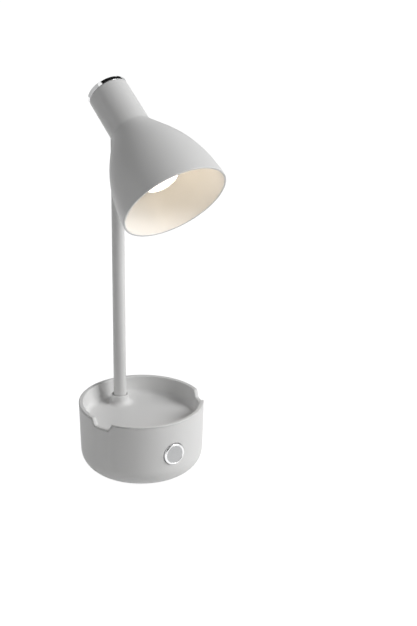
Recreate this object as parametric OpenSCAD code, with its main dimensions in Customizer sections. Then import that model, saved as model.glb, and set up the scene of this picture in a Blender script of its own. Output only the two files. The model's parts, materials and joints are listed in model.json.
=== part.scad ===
// Desk lamp: a round base with a tray and a push button, a thin stem, and a bell shade on a
// friction hinge. Front is -Y, the stem stands at +Y, and z = 0 is the desk.

/* [Base] */
// Outer radius of the base at its rim
rim_r = 60; // [56:0.5:75]
// Height of the rim above the desk
rim_z = 68.4; // [64:0.2:84]
// How much narrower the wall is above its rounded foot than at the rim
wall_draft = 1.6; // [0.6:0.1:2.4]
// Radius of the rounded foot
foot_round_r = 20.6; // [15:0.2:22]
// Wall thickness of the shell
shell_t = 2.6; // [2:0.1:3]
// Height at which the pad holds the shell off the desk
shell_lift = 0.8; // [0.4:0.1:1]
// Thickness of the foot pad
pad_t = 1.4; // [1:0.1:2]
// Thickness of the bottom cover
cover_t = 2; // [1.6:0.1:3]
// Thickness of the flange that the cover seats on
flange_t = 2; // [1.6:0.1:3]
// Thickness of the ballast plate
ballast_t = 10; // [6:0.5:12]
// Radius of the tray's pillars where they pass the ballast
pillar_r = 3.6; // [3:0.1:4]

/* [Tray] */
// Depth of the tray below the rim
tray_depth = 16.9; // [12:0.1:20]
// Thickness of the tray floor
tray_t = 2.4; // [2:0.1:3]
// Width of the rim, seen from above
rim_w = 4.4; // [4:0.1:6]
// Height of the lip that covers the shell's edge
lip_t = 1.2; // [1:0.1:2]
// Radius of the lip's rounded edges
lip_round = 1; // [0.4:0.1:1]
// Height of the shadow seam under the lip
seam_t = 0.5; // [0.3:0.1:1]
// Radius between the tray's floor and its wall
tray_round_r = 5; // [2:0.5:8]
// How far the notches lie in front of the base's centre
notch_front = 18.5; // [10:0.5:22]
// Width of a notch at the rim
notch_top_w = 22.6; // [16:0.2:26]
// Width of a notch at its bottom
notch_bottom_w = 15.6; // [9:0.2:18]
// Depth of a notch
notch_depth = 6.9; // [4:0.1:9]
// Outer radius of the collar round the stem
collar_r = 8.4; // [8:0.1:10]
// Height of the collar above the tray floor
collar_h = 9.1; // [7:0.1:14]
// Radius of the flare at the collar's foot
collar_flare_r = 5.2; // [2:0.1:6]

/* [Stem] */
// Outer radius of the stem tube
stem_r = 6.12; // [5.8:0.02:6.4]
// Wall thickness of the stem tube
stem_t = 1.1; // [0.8:0.1:1.2]
// Distance from the rim in to the stem's axis
stem_inset = 20.9; // [19:0.1:26]
// Height of the hinge pivot above the desk
pivot_z = 356.3; // [280:0.5:450]
// Thickness of the hinge tongue
tongue_t = 5; // [4:0.1:5.4]
// Radius of the hinge bolt
bolt_r = 2; // [1.5:0.1:2.2]

/* [Shade] */
// Angle of the shade's axis below the horizontal
shade_tilt = 31.6; // [20:0.2:40]
// Distance from the neck's outer end to the pivot
neck_back = 21.3; // [20:0.1:24]
// Outer radius of the neck at its outer end
neck_r = 19.8; // [19:0.1:22]
// How much the neck widens towards the bell
neck_flare = 0.5; // [0:0.1:1]
// Length of the neck with its cap
neck_len = 51.4; // [50:0.2:60]
// Length of the whole shade along its axis
shade_len = 140.4; // [134:0.2:175]
// Outer radius of the bell's mouth
mouth_r = 52.5; // [46:0.5:65]
// Wall thickness of the shade
shade_t = 2.2; // [1.6:0.1:2.4]
// Slope of the bell where it leaves the neck
bell_start_slope = 26; // [20:1:34]
// Length over which the bell holds its first slope
bell_start_pull = 21; // [14:0.5:24]
// Slope of the bell at its mouth
bell_end_slope = 3; // [0:0.5:8]
// Length over which the bell holds its last slope
bell_end_pull = 52.5; // [40:0.5:60]
// Slant of the mouth, longer at the top
mouth_slant = 4; // [0:0.5:8]
// Length of the chrome end cap's visible band
cap_len = 4.6; // [3:0.1:6]

/* [Light source] */
// Outer radius of the pot that holds the light source
pot_r = 18.2; // [17.6:0.1:20]
// Wall thickness of the pot
pot_t = 1.2; // [1:0.1:1.6]
// Distance from the mouth in to the diffuser
diffuser_inset = 27; // [24:0.2:32]
// Number of light chips
chip_count = 12; // [6:1:14]

/* [Button and inlet] */
// Radius of the push button
button_r = 10.75; // [9.5:0.05:11]
// Height of the button's centre above the desk
button_z = 35.6; // [34:0.2:42]
// Travel of the button
button_travel = 1.5; // [0.8:0.1:2]
// Height of the inlet's centre above the desk
inlet_z = 24.6; // [24:0.2:30]
// Radius of the inlet's bore
inlet_bore_r = 2.8; // [2.2:0.1:3]
// Radius of the inlet's centre pin
inlet_pin_r = 1.05; // [0.8:0.05:1.2]

/* [Hidden] */
$fn = 96;
big = 200;
eps = 0.01;

// Clearances
screw_gap = 0.05;   // round a screw in the hole it bites
seat_gap = 0.3;     // round a piece that drops into its seat
slide_gap = 0.4;    // round the sliding button
spin_gap = 0.05;    // round the hinge bolt, and beside the friction washers
fold_gap = 0.6;     // round the stem in the neck's slot
push_gap = 0.1;     // round a piece pressed or bonded into its seat
pass_gap = 0.15;    // round a screw in the hole it passes
lead_gap = 0.5;     // round a lead in its hole

// Heights and radii of the base
wall_r = rim_r - wall_draft;
foot_flat_r = wall_r - foot_round_r;
foot_top_z = shell_lift + foot_round_r;
flange_z = pad_t + cover_t;
cover_seat_r = foot_flat_r - 0.8;
flange_in_r = cover_seat_r - 4;
ballast_z = flange_z + flange_t;
ballast_top_z = ballast_z + ballast_t;
pillar_ring_r = flange_in_r - pillar_r - 1.4;
pillar_wide_r = pillar_r + 1.6;
post_r = 2.6;
seam_depth = 0.9;
notch_corner_r = 1.6;
notch_reach = 12;
collar_edge_r = 0.8;
collar_gap = 0.7;
collar_gap_depth = 2;
lip_z = rim_z - lip_t;
lip_edge_z = rim_z - lip_round;
floor_z = rim_z - tray_depth;
under_z = floor_z - tray_t;
stem_y = rim_r - stem_inset;

// Outer radius of the base wall at height z, and inner radius of its rounded foot
function wall_at(z) = rim_r - wall_draft * (lip_edge_z - z) / (lip_edge_z - foot_top_z);
function foot_in_at(z) = foot_flat_r + sqrt(pow(foot_round_r - shell_t, 2) - pow(foot_top_z - z, 2));
ballast_r = foot_in_at(ballast_z) - 1.2;
tray_in_r = rim_r - rim_w;
tray_floor_r = tray_in_r - 1;

// Screws
cover_screw_r = 1.5;
cover_screw_len = 14;
countersink_r = 3;
countersink_t = 1.4;
small_screw_r = 1;
small_screw_len = 6;
small_head_r = 2;
small_head_t = 1.4;
pot_screw_r = 1.2;
pot_screw_len = 7;
pot_head_r = 2.2;
pot_head_t = 1.6;

// Board under the tray floor
board_t = 1.6;
board_drop = 6.5;
board_top_z = under_z - board_drop;
board_z = board_top_z - board_t;
board_w = 2 * (pillar_ring_r * cos(45) - pillar_wide_r - 1.2);
board_front_y = -(rim_r - 30);
board_back_y = stem_y - 19;
post_inset = 3;
post_x = board_w / 2 - post_inset;
inductor_r = 5;
inductor_h = 9;
capacitor_r = 4;
capacitor_h = 12;
capacitor_pitch = 9.5;
chip_size = [5, 6, 1.6];
lead_r = 1.1;

// Stem foot
stem_in_r = stem_r - stem_t;
ledge_t = 2.4;
ledge_boss_r = stem_r + 5.9;
stem_foot_z = under_z;
ledge_z = stem_foot_z - ledge_t;
nipple_r = stem_in_r - push_gap;
nipple_t = 1.7;
nipple_grip = 15;
nipple_tail = 3;
washer_t = 1.2;
washer_r = 10;
stem_nut_t = 6;
stem_nut_af = 14;

// Hinge
knuckle_drop = 8;
knuckle_plug_len = 14;
eye_r = 5.8;
ear_r = 6;
ear_t = 3;
friction_t = 1.15;
ear_in = tongue_t / 2 + friction_t + 2 * spin_gap;
ear_out = ear_in + ear_t;
knuckle_rim_t = 1;
wire_hole_y = 3.4;
lead_bend_r = 8;
bolt_head_r = 3.6;
bolt_head_t = 2.6;
spring_washer_t = 0.8;
hinge_nut_t = 3.2;
hinge_nut_af = 7;

// Neck and what sits in it
neck_in_r = neck_r - shade_t;
cap_seam = 0.3;
skirt_len = 4.4;
skirt_t = 1;
cap_t = 1.6;
cap_edge_r = 1.2;
carrier_z = cap_len + skirt_len + lead_gap;
carrier_t = 2.4;
carrier_boss_ring = neck_in_r - 3.8;
carrier_boss_r = 3.2;
carrier_boss_len = 5;
slot_half_w = stem_r + fold_gap;
tilt_up = 30;
tilt_down = 12;

// Bell profile, as [radius, distance along the axis]
bell_steps = 18;
bell_p0 = [neck_r + neck_flare, neck_len];
bell_p1 = bell_p0 + bell_start_pull * [sin(bell_start_slope), cos(bell_start_slope)];
bell_p3 = [mouth_r, shade_len];
bell_p2 = bell_p3 - bell_end_pull * [sin(bell_end_slope), cos(bell_end_slope)];
bell_over = 10;
function bell_at(t) = pow(1 - t, 3) * bell_p0 + 3 * pow(1 - t, 2) * t * bell_p1
    + 3 * (1 - t) * t * t * bell_p2 + pow(t, 3) * bell_p3;
function bell_run(t) = pow(1 - t, 2) * (bell_p1 - bell_p0) + 2 * (1 - t) * t * (bell_p2 - bell_p1)
    + t * t * (bell_p3 - bell_p2);
function unit(v) = v / norm(v);
function inward(v) = [-v[1], v[0]];
function bell_in(t, inset) = bell_at(t) + inset * inward(unit(bell_run(t)));
function bell_curve(inset) = [for (i = [0:bell_steps]) bell_in(i / bell_steps, inset)];
function bell_end(inset) = bell_in(1, inset) + bell_over * unit(bell_run(1));

// Light source, placed along the shade's axis
diffuser_z = shade_len - diffuser_inset;
flange_seat_z = neck_len + 16.6;
pot_flange_t = 2.2;
pot_flange_r = pot_r + 6;
pot_screw_ring = pot_r + 2.8;
pot_in_r = pot_r - pot_t;
pot_step = 1.6;
sink_top_z = diffuser_z - 9.5;
sink_disc_t = 4;
sink_fin_t = 1.4;
sink_fin_pitch = 4;
led_board_t = 1.6;
led_board_r = pot_in_r - 1;
chip_ring_r = 10;
led_chip_w = 2.8;
led_chip_t = 0.7;
diffuser_t = 1.8;

// Button, as depths in from the plane of the rim's front
spot_depth = 2.4;
face_depth = 0.7;
ledge_depth = 6.2;
button_bevel = 1.6;
button_cap_t = 1.1;
button_flange_r = button_r + 0.85;
flange_depth = ledge_depth + push_gap;
button_flange_t = 1.6;
plunger_r = 2.2;
sleeve_depth = 15.5;
sleeve_r = button_flange_r + slide_gap + 1.2;
retainer_t = 1.8;
switch_h = 3.1;
actuator_h = 0.7;
plunger_depth = sleeve_depth - switch_h - actuator_h - push_gap - button_travel;
switch_w = 6;
actuator_r = 1.7;
ear_x = sleeve_r + 2.1;
ear_boss_r = 2.8;
spring_r = 8;
spring_wire_r = 0.4;
spring_turns = 4;

// Inlet, as depths in from the plane of the rim's back
inlet_face_depth = 1.7;
inlet_panel_depth = 3.1;
inlet_boss_depth = 6.4;
inlet_boss_t = 1.9;
inlet_barrel_r = 4;
inlet_floor_t = 2;
inlet_pin_set = 1.2;
inlet_tail_len = 3.2;
inlet_flange_r = 6.3;
inlet_nut_t = 2.4;
inlet_nut_af = 10;
inlet_len = 15;

// Lead routes
jack_route = [
    [0, rim_r - inlet_len - inlet_tail_len, inlet_z], [0, rim_r - inlet_len - 6, inlet_z],
    [0, rim_r - inlet_len - 11, inlet_z + 2], [0, rim_r - inlet_len - 17, inlet_z + 7],
    [0, board_back_y - 1, board_z - 6],
    [0, board_back_y - post_inset, board_z - 2.5], [0, board_back_y - post_inset, board_z]
];
switch_route = [
    [0, -rim_r + sleeve_depth, button_z], [0, -rim_r + sleeve_depth + 3, button_z],
    [0, -rim_r + sleeve_depth + 7, button_z - 1], [0, board_front_y, button_z - 1],
    [0, board_front_y + post_inset, board_z - 2.5], [0, board_front_y + post_inset, board_z]
];
stem_route = [
    [6, board_back_y - post_inset, board_z], [6, board_back_y - post_inset, board_z - 2.5],
    [6, board_back_y - 2, board_z - 5],
    [5, board_back_y + 2, board_z - 9], [4.5, stem_y - 9, ledge_z - 18],
    [3, stem_y - 3, ledge_z - 18], [0, stem_y, ledge_z - 13], [0, stem_y, floor_z + 20],
    [0, stem_y, pivot_z - 60], [0, stem_y, pivot_z - 30],
    [0, stem_y + 1, pivot_z - knuckle_drop - 24],
    [0, stem_y + wire_hole_y, pivot_z - knuckle_drop - knuckle_plug_len - 4],
    [0, stem_y + wire_hole_y, pivot_z - knuckle_drop - knuckle_plug_len - 2],
    [0, stem_y + wire_hole_y, pivot_z - knuckle_drop + knuckle_rim_t]
];
hinge_route = [
    [0, stem_y + wire_hole_y, pivot_z - knuckle_drop + knuckle_rim_t],
    [0, stem_y + wire_hole_y, pivot_z - knuckle_drop + knuckle_rim_t + 0.4], [0, stem_y + 5.4, pivot_z - 4.8],
    [0, stem_y + 7.5, pivot_z - 3.2], [0, stem_y + lead_bend_r, pivot_z - 1.4],
    [0, stem_y + lead_bend_r, pivot_z]
];
function lead_bend_at(a) = [0, lead_bend_r * sin(a), neck_back - lead_bend_r * cos(a)];
head_route = concat(
    [lead_bend_at(-shade_tilt), lead_bend_at(-shade_tilt) + 0.6 * [0, cos(shade_tilt), -sin(shade_tilt)]],
    [for (i = [1:8]) lead_bend_at(-shade_tilt + i * (90 + shade_tilt) / 8)],
    [[0, lead_bend_r, neck_back + 8], [0, 5.5, neck_back + 19], [0, 1, flange_seat_z - 13],
        [0, 0, flange_seat_z - 6], [0, 0, flange_seat_z + 20], [0, 0, sink_top_z]]
);

// ---- Helpers ----

// A tube swept along a route that never runs along X
module lead(route, radius = lead_r, sides = 8) {
    last = len(route) - 1;
    tangents = [for (i = [0:last]) unit(route[min(i + 1, last)] - route[max(i - 1, 0)])];
    rings = [for (i = [0:last])
        let (a = unit(cross(tangents[i], [1, 0, 0])), b = cross(tangents[i], a))
        for (k = [0:sides - 1])
            route[i] + radius * (cos(360 * k / sides) * a + sin(360 * k / sides) * b)];
    walls = [for (i = [0:last - 1], k = [0:sides - 1])
        let (n = (k + 1) % sides)
        each [[i * sides + k, i * sides + n, (i + 1) * sides + n],
              [i * sides + k, (i + 1) * sides + n, (i + 1) * sides + k]]];
    ends = [for (k = [1:sides - 2]) each [[0, k + 1, k],
        [last * sides, last * sides + k, last * sides + k + 1]]];
    polyhedron(rings, concat(walls, ends), convexity = 6);
}

module ring(outer, inner, height) {
    difference() {
        cylinder(r = outer, h = height);
        translate([0, 0, -eps]) cylinder(r = inner, h = height + 2 * eps);
    }
}

module hexagon(flats, height) {
    cylinder(d = flats / cos(30), h = height, $fn = 6);
}

// The region outside a quarter circle, which rounds a corner at the origin's far end
module corner_waste(radius) {
    difference() {
        square(radius + eps);
        circle(radius);
    }
}

module mirrored_x() {
    children();
    mirror([1, 0, 0]) children();
}

module on_pillars() {
    for (a = [45:90:315])
        rotate([0, 0, a]) translate([pillar_ring_r, 0, 0]) children();
}

module on_posts() {
    for (x = [-post_x, post_x], y = [board_front_y + post_inset, board_back_y - post_inset])
        translate([x, y, 0]) children();
}

// Local z runs in from the rim's front plane
module at_button() {
    translate([0, -rim_r, button_z]) rotate([-90, 0, 0]) children();
}

// Local z runs in from the rim's back plane
module at_inlet() {
    translate([0, rim_r, inlet_z]) rotate([90, 0, 0]) children();
}

// Local z runs along the shade's axis from the neck's outer end, local y is up and forward
module in_shade() {
    translate([0, stem_y, pivot_z]) rotate([90 + shade_tilt, 0, 0])
        translate([0, 0, -neck_back]) children();
}

// ---- Base ----

// Filled half section of the base, drawn in from its outer surface
module base_section(inset) {
    round_r = foot_round_r - inset;
    low_z = foot_top_z - round_r;
    difference() {
        polygon([[0, low_z], [wall_r - inset, low_z], [wall_r - inset, foot_top_z],
            [rim_r - inset, lip_edge_z], [rim_r - inset, rim_z], [0, rim_z]]);
        translate([foot_flat_r, foot_top_z]) mirror([0, 1]) corner_waste(round_r);
    }
}

function corner_arc(a, b, c, radius, steps = 4) =
    let (u = unit(a - b), v = unit(c - b), half = acos(u * v) / 2,
         centre = b + unit(u + v) * radius / sin(half),
         from = b + u * radius / tan(half) - centre, to = b + v * radius / tan(half) - centre,
         start = atan2(from[1], from[0]), turn = atan2(to[1], to[0]) - start,
         sweep = turn > 180 ? turn - 360 : turn < -180 ? turn + 360 : turn)
    [for (i = [0:steps]) centre + radius * [cos(start + sweep * i / steps), sin(start + sweep * i / steps)]];

// Outline of a notch seen along X, grown by a depth into the rim
module notch_outline(grow) {
    lean = atan((notch_top_w - notch_bottom_w) / 2 / notch_depth);
    top_half = notch_top_w / 2 + grow / cos(lean);
    bottom_half = notch_bottom_w / 2 + grow * (1 / cos(lean) - tan(lean));
    bottom_z = rim_z - notch_depth - grow;
    side = [[top_half + notch_reach, rim_z], [top_half, rim_z], [bottom_half, bottom_z], [0, bottom_z]];
    half = concat(
        [[top_half + notch_reach, rim_z + notch_reach], [top_half + notch_reach, rim_z + eps]],
        corner_arc(side[0], side[1], side[2], max(0.3, notch_corner_r - grow)),
        corner_arc(side[1], side[2], side[3], notch_corner_r + grow)
    );
    mirrored = [for (i = [len(half) - 1:-1:0]) [-half[i][0], half[i][1]]];
    translate([-notch_front, 0]) polygon(concat(half, mirrored));
}

module notch_cut(grow) {
    mirrored_x()
        translate([rim_r - rim_w - notch_reach, 0, 0]) rotate([90, 0, 90])
            linear_extrude(big / 4) notch_outline(grow);
}

module shell_section() {
    difference() {
        base_section(0);
        base_section(shell_t);
        translate([0, -1]) square([cover_seat_r, flange_z + 1]);
        translate([0, lip_z]) square([big, big]);
        translate([wall_at(lip_z) - seam_depth, lip_z - seam_t]) square([big, big]);
    }
    intersection() {
        base_section(0);
        translate([flange_in_r, flange_z]) square([big, flange_t]);
    }
}

module seam_cut() {
    intersection() {
        notch_cut(lip_t + seam_t);
        translate([0, 0, under_z]) ring(rim_r + 5, wall_at(lip_z) - seam_depth, rim_z);
    }
}

// Sleeve and ears behind the button, and the boss behind the inlet
module shell_bosses() {
    intersection() {
        rotate_extrude() base_section(shell_t / 2);
        union() {
            at_button() {
                cylinder(r = sleeve_r, h = sleeve_depth);
                mirrored_x() translate([ear_x, 0, 0]) cylinder(r = ear_boss_r, h = sleeve_depth);
            }
            at_inlet() cylinder(r = inlet_flange_r + inlet_boss_t, h = inlet_boss_depth);
        }
    }
}

module base_shell() {
    color("whitesmoke") difference() {
        union() {
            rotate_extrude() shell_section();
            shell_bosses();
        }
        notch_cut(lip_t);
        seam_cut();
        at_button() {
            translate([0, 0, -5]) cylinder(r = button_flange_r, h = 5 + spot_depth);
            cylinder(r = button_r + slide_gap, h = big / 10);
            translate([0, 0, ledge_depth]) cylinder(r = button_flange_r + slide_gap, h = big / 10);
            mirrored_x() translate([ear_x, 0, sleeve_depth - small_screw_len - 1])
                cylinder(r = small_screw_r + screw_gap, h = big / 10);
        }
        at_inlet() {
            translate([0, 0, -5]) cylinder(r = inlet_flange_r + seat_gap, h = 5 + inlet_panel_depth);
            cylinder(r = inlet_barrel_r + pass_gap, h = big / 10);
        }
    }
}

module bottom_cover() {
    color("dimgray") difference() {
        translate([0, 0, pad_t]) cylinder(r = cover_seat_r - seat_gap, h = cover_t);
        on_pillars() {
            translate([0, 0, pad_t - eps])
                cylinder(r1 = countersink_r, r2 = cover_screw_r + pass_gap, h = countersink_t);
            cylinder(r = cover_screw_r + pass_gap, h = big / 10);
        }
    }
}

module foot_pad() {
    color("gray") cylinder(r = cover_seat_r - seat_gap, h = pad_t);
}

module cover_screws() {
    color("silver") on_pillars() translate([0, 0, pad_t]) {
        cylinder(r1 = countersink_r - pass_gap, r2 = cover_screw_r, h = countersink_t - screw_gap);
        cylinder(r = cover_screw_r, h = cover_screw_len);
    }
}

module ballast_plate() {
    color("slategray") difference() {
        translate([0, 0, ballast_z]) cylinder(r = ballast_r, h = ballast_t);
        on_pillars() cylinder(r = pillar_r + seat_gap, h = big / 2);
    }
}

// ---- Tray ----

module tray_hollow_section() {
    arc_z = floor_z + tray_round_r;
    difference() {
        polygon([[0, floor_z], [tray_floor_r, floor_z], [tray_floor_r, arc_z], [tray_in_r, lip_edge_z],
            [tray_in_r, rim_z + 1], [0, rim_z + 1]]);
        translate([tray_floor_r - tray_round_r, arc_z]) mirror([0, 1]) corner_waste(tray_round_r);
    }
}

module lip_edges() {
    translate([rim_r - lip_round, lip_edge_z]) corner_waste(lip_round);
    translate([tray_in_r + lip_round, lip_edge_z]) mirror([1, 0]) corner_waste(lip_round);
}

module tray_section() {
    difference() {
        intersection() {
            base_section(0);
            translate([0, under_z]) square([big, big]);
        }
        tray_hollow_section();
        lip_edges();
    }
}

// The room the shell's wall takes up outside the tray, with the lip dipping through the notches
module wall_room() {
    difference() {
        rotate_extrude()
            polygon([[wall_at(under_z) - shell_t - seat_gap, under_z - 1],
                [wall_at(lip_z) - shell_t - seat_gap, lip_z], [rim_r + 5, lip_z], [rim_r + 5, under_z - 1]]);
        notch_cut(lip_t);
    }
}

module collar_section() {
    difference() {
        union() {
            square([collar_r, collar_h]);
            square([collar_r + collar_flare_r, collar_flare_r]);
        }
        translate([collar_r + collar_flare_r, collar_flare_r]) circle(collar_flare_r);
        translate([collar_r - collar_edge_r, collar_h - collar_edge_r]) corner_waste(collar_edge_r);
    }
}

module tray() {
    color("white") difference() {
        union() {
            difference() {
                rotate_extrude() tray_section();
                wall_room();
            }
            translate([0, stem_y, floor_z - eps]) rotate_extrude() collar_section();
            translate([0, stem_y, ledge_z]) cylinder(r = ledge_boss_r, h = ledge_t + eps);
            on_pillars() {
                translate([0, 0, flange_z]) cylinder(r = pillar_r, h = under_z - flange_z + eps);
                translate([0, 0, ballast_top_z])
                    cylinder(r = pillar_wide_r, h = under_z - ballast_top_z + eps);
            }
            on_posts() translate([0, 0, board_top_z]) cylinder(r = post_r, h = board_drop + eps);
        }
        notch_cut(0);
        translate([0, stem_y, stem_foot_z]) cylinder(r = stem_r + push_gap, h = big);
        translate([0, stem_y, floor_z + collar_h - collar_gap_depth])
            cylinder(r = stem_r + collar_gap, h = big);
        translate([0, stem_y, ledge_z - eps]) cylinder(r = nipple_r + push_gap, h = big);
        on_pillars() translate([0, 0, flange_z - eps])
            cylinder(r = cover_screw_r + screw_gap, h = cover_screw_len);
        on_posts() translate([0, 0, board_top_z - eps])
            cylinder(r = small_screw_r + screw_gap, h = small_screw_len - board_t + 0.5);
    }
}

// ---- Button ----

module button_cap() {
    color("gainsboro") at_button() difference() {
        union() {
            translate([0, 0, face_depth]) cylinder(r = button_r, h = flange_depth - face_depth);
            cylinder(r1 = button_r - button_bevel, r2 = button_r, h = face_depth + eps);
        }
        translate([0, 0, face_depth + button_cap_t]) cylinder(r = button_r - button_cap_t, h = flange_depth);
    }
}

module button_carrier() {
    color("lightgray") at_button() {
        translate([0, 0, face_depth + button_cap_t])
            cylinder(r = button_r - button_cap_t - push_gap, h = flange_depth - face_depth - button_cap_t);
        translate([0, 0, flange_depth]) cylinder(r = button_flange_r, h = button_flange_t);
        translate([0, 0, flange_depth]) cylinder(r = plunger_r, h = plunger_depth - flange_depth);
    }
}

module button_spring() {
    start = flange_depth + button_flange_t + spring_wire_r;
    rise = sleeve_depth - spring_wire_r - start;
    steps = 12 * spring_turns;
    function wire_at(i) = [spring_r * cos(30 * i), spring_r * sin(30 * i), start + rise * i / steps];
    color("silver") at_button() coil_wire([for (i = [0:steps]) wire_at(i)]);
}

// A wire round the local z axis, its rings set out from that axis
module coil_wire(route, radius = spring_wire_r, sides = 6) {
    last = len(route) - 1;
    rings = [for (p = route, k = [0:sides - 1])
        p + radius * (cos(360 * k / sides) * unit([p[0], p[1], 0]) + sin(360 * k / sides) * [0, 0, 1])];
    walls = [for (i = [0:last - 1], k = [0:sides - 1])
        let (n = (k + 1) % sides)
        each [[i * sides + k, (i + 1) * sides + n, i * sides + n],
              [i * sides + k, (i + 1) * sides + k, (i + 1) * sides + n]]];
    ends = [for (k = [1:sides - 2]) each [[0, k, k + 1],
        [last * sides, last * sides + k + 1, last * sides + k]]];
    polyhedron(rings, concat(walls, ends), convexity = 10);
}

module button_retainer() {
    color("lightgray") at_button() translate([0, 0, sleeve_depth]) difference() {
        union() {
            cylinder(r = sleeve_r, h = retainer_t);
            translate([-ear_x, -ear_boss_r, 0]) cube([2 * ear_x, 2 * ear_boss_r, retainer_t]);
            mirrored_x() translate([ear_x, 0, 0]) cylinder(r = ear_boss_r, h = retainer_t);
        }
        mirrored_x() translate([ear_x, 0, -eps]) cylinder(r = small_screw_r + pass_gap, h = retainer_t + 1);
        translate([0, 0, -eps]) cylinder(r = lead_r + lead_gap, h = retainer_t + 1);
    }
}

module retainer_screws() {
    color("silver") at_button() mirrored_x() translate([ear_x, 0, sleeve_depth]) {
        translate([0, 0, -small_screw_len])
            cylinder(r = small_screw_r, h = small_screw_len + retainer_t + eps);
        translate([0, 0, retainer_t]) cylinder(r = small_head_r, h = small_head_t);
    }
}

module button_switch() {
    color("black") at_button() translate([0, 0, sleeve_depth - switch_h]) {
        translate([-switch_w / 2, -switch_w / 2, 0]) cube([switch_w, switch_w, switch_h]);
        translate([0, 0, -actuator_h]) cylinder(r = actuator_r, h = actuator_h + eps);
    }
}

// ---- Inlet ----

module jack_body() {
    color("black") at_inlet() difference() {
        union() {
            translate([0, 0, inlet_face_depth])
                cylinder(r = inlet_flange_r, h = inlet_panel_depth - inlet_face_depth);
            translate([0, 0, inlet_face_depth])
                cylinder(r = inlet_barrel_r, h = inlet_len - inlet_face_depth);
        }
        translate([0, 0, inlet_face_depth - eps])
            cylinder(r = inlet_bore_r, h = inlet_len - inlet_face_depth - inlet_floor_t);
        cylinder(r = inlet_pin_r + screw_gap, h = inlet_len + 1);
    }
}

module jack_contact() {
    color("silver") at_inlet() {
        translate([0, 0, inlet_face_depth + inlet_pin_set])
            cylinder(r = inlet_pin_r, h = inlet_len - inlet_face_depth - inlet_pin_set);
        translate([0, 0, inlet_len]) cylinder(r = 2 * inlet_pin_r, h = 1);
        translate([-1, -0.4, inlet_len]) cube([2, 0.8, inlet_tail_len]);
    }
}

module jack_nut() {
    color("silver") at_inlet() translate([0, 0, inlet_boss_depth]) difference() {
        hexagon(inlet_nut_af, inlet_nut_t);
        translate([0, 0, -eps]) cylinder(r = inlet_barrel_r + screw_gap, h = inlet_nut_t + 1);
    }
}

// ---- Board ----

module driver_board() {
    color("seagreen") difference() {
        translate([-board_w / 2, board_front_y, board_z])
            cube([board_w, board_back_y - board_front_y, board_t]);
        on_posts() cylinder(r = small_screw_r + pass_gap, h = big / 2);
    }
}

module board_screws() {
    color("silver") on_posts() {
        translate([0, 0, board_z - small_head_t]) cylinder(r = small_head_r, h = small_head_t);
        translate([0, 0, board_z - eps]) cylinder(r = small_screw_r, h = small_screw_len);
    }
}

module inductor() {
    color("darkslategray") translate([board_w / 2 - 7, board_front_y + 13, board_z - inductor_h])
        difference() {
            cylinder(r = inductor_r, h = inductor_h);
            translate([0, 0, 1.6]) ring(inductor_r + 1, inductor_r - 1.2, inductor_h - 3.2);
        }
}

module capacitors() {
    color("midnightblue") for (y = [23.5, 23.5 + capacitor_pitch])
        translate([board_w / 2 - 6, board_front_y + y, board_z - capacitor_h])
            cylinder(r = capacitor_r, h = capacitor_h);
}

module driver_chip() {
    color("black") translate([-board_w / 2 + 3, board_front_y + 18, board_z - chip_size[2]]) cube(chip_size);
}

module base_leads() {
    color("red") {
        lead(jack_route);
        lead(switch_route);
    }
}

// ---- Stem ----

module stem_tube() {
    color("white") translate([0, stem_y, stem_foot_z])
        ring(stem_r, stem_in_r, pivot_z - knuckle_drop - stem_foot_z);
}

module stem_nipple() {
    low_z = ledge_z - washer_t - stem_nut_t - nipple_tail;
    color("silver") translate([0, stem_y, low_z])
        ring(nipple_r, nipple_r - nipple_t, stem_foot_z + nipple_grip - low_z);
}

module stem_washer() {
    color("silver") translate([0, stem_y, ledge_z - washer_t]) ring(washer_r, nipple_r + push_gap, washer_t);
}

module stem_nut() {
    color("silver") translate([0, stem_y, ledge_z - washer_t - stem_nut_t]) difference() {
        hexagon(stem_nut_af, stem_nut_t);
        translate([0, 0, -eps]) cylinder(r = nipple_r + screw_gap, h = stem_nut_t + 1);
    }
}

module stem_lead() {
    color("red") lead(stem_route);
}

// ---- Hinge ----

// Local x is the hinge axis, local z is up, and the origin is the pivot
module hinge_knuckle() {
    shoulder_z = -knuckle_drop + knuckle_rim_t;
    color("silver") translate([0, stem_y, pivot_z]) difference() {
        union() {
            translate([0, 0, -knuckle_drop - knuckle_plug_len])
                cylinder(r = stem_in_r - push_gap, h = knuckle_plug_len + eps);
            translate([0, 0, -knuckle_drop]) cylinder(r = stem_r, h = knuckle_rim_t);
            rotate([90, 0, 90]) translate([0, 0, -tongue_t / 2]) linear_extrude(tongue_t) union() {
                circle(eye_r);
                polygon([[-4.8, shoulder_z - eps], [1.4, shoulder_z - eps], [3.4, -4.6], [-5.4, -2]]);
            }
        }
        rotate([0, 90, 0]) cylinder(r = bolt_r + spin_gap, h = big, center = true);
        translate([0, wire_hole_y, -big / 4]) cylinder(r = lead_r + seat_gap, h = big / 4 + shoulder_z + eps);
    }
}

module hinge_carrier() {
    color("lightgray") in_shade() difference() {
        union() {
            translate([0, 0, carrier_z]) cylinder(r = neck_in_r - pass_gap, h = carrier_t);
            mirrored_x() translate([ear_in, 0, neck_back]) rotate([0, 90, 0]) cylinder(r = ear_r, h = ear_t);
            mirrored_x() translate([ear_in, -ear_r, carrier_z + carrier_t - eps])
                cube([ear_t, 2 * ear_r, neck_back - carrier_z - carrier_t]);
        }
        translate([-big / 2, 0, neck_back]) rotate([0, 90, 0]) cylinder(r = bolt_r + spin_gap, h = big);
        on_carrier_screws() translate([0, 0, carrier_z - eps])
            cylinder(r = small_screw_r + pass_gap, h = big / 10);
    }
}

module on_carrier_screws() {
    for (a = [90:120:330]) rotate([0, 0, a]) translate([carrier_boss_ring, 0, 0]) children();
}

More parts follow.
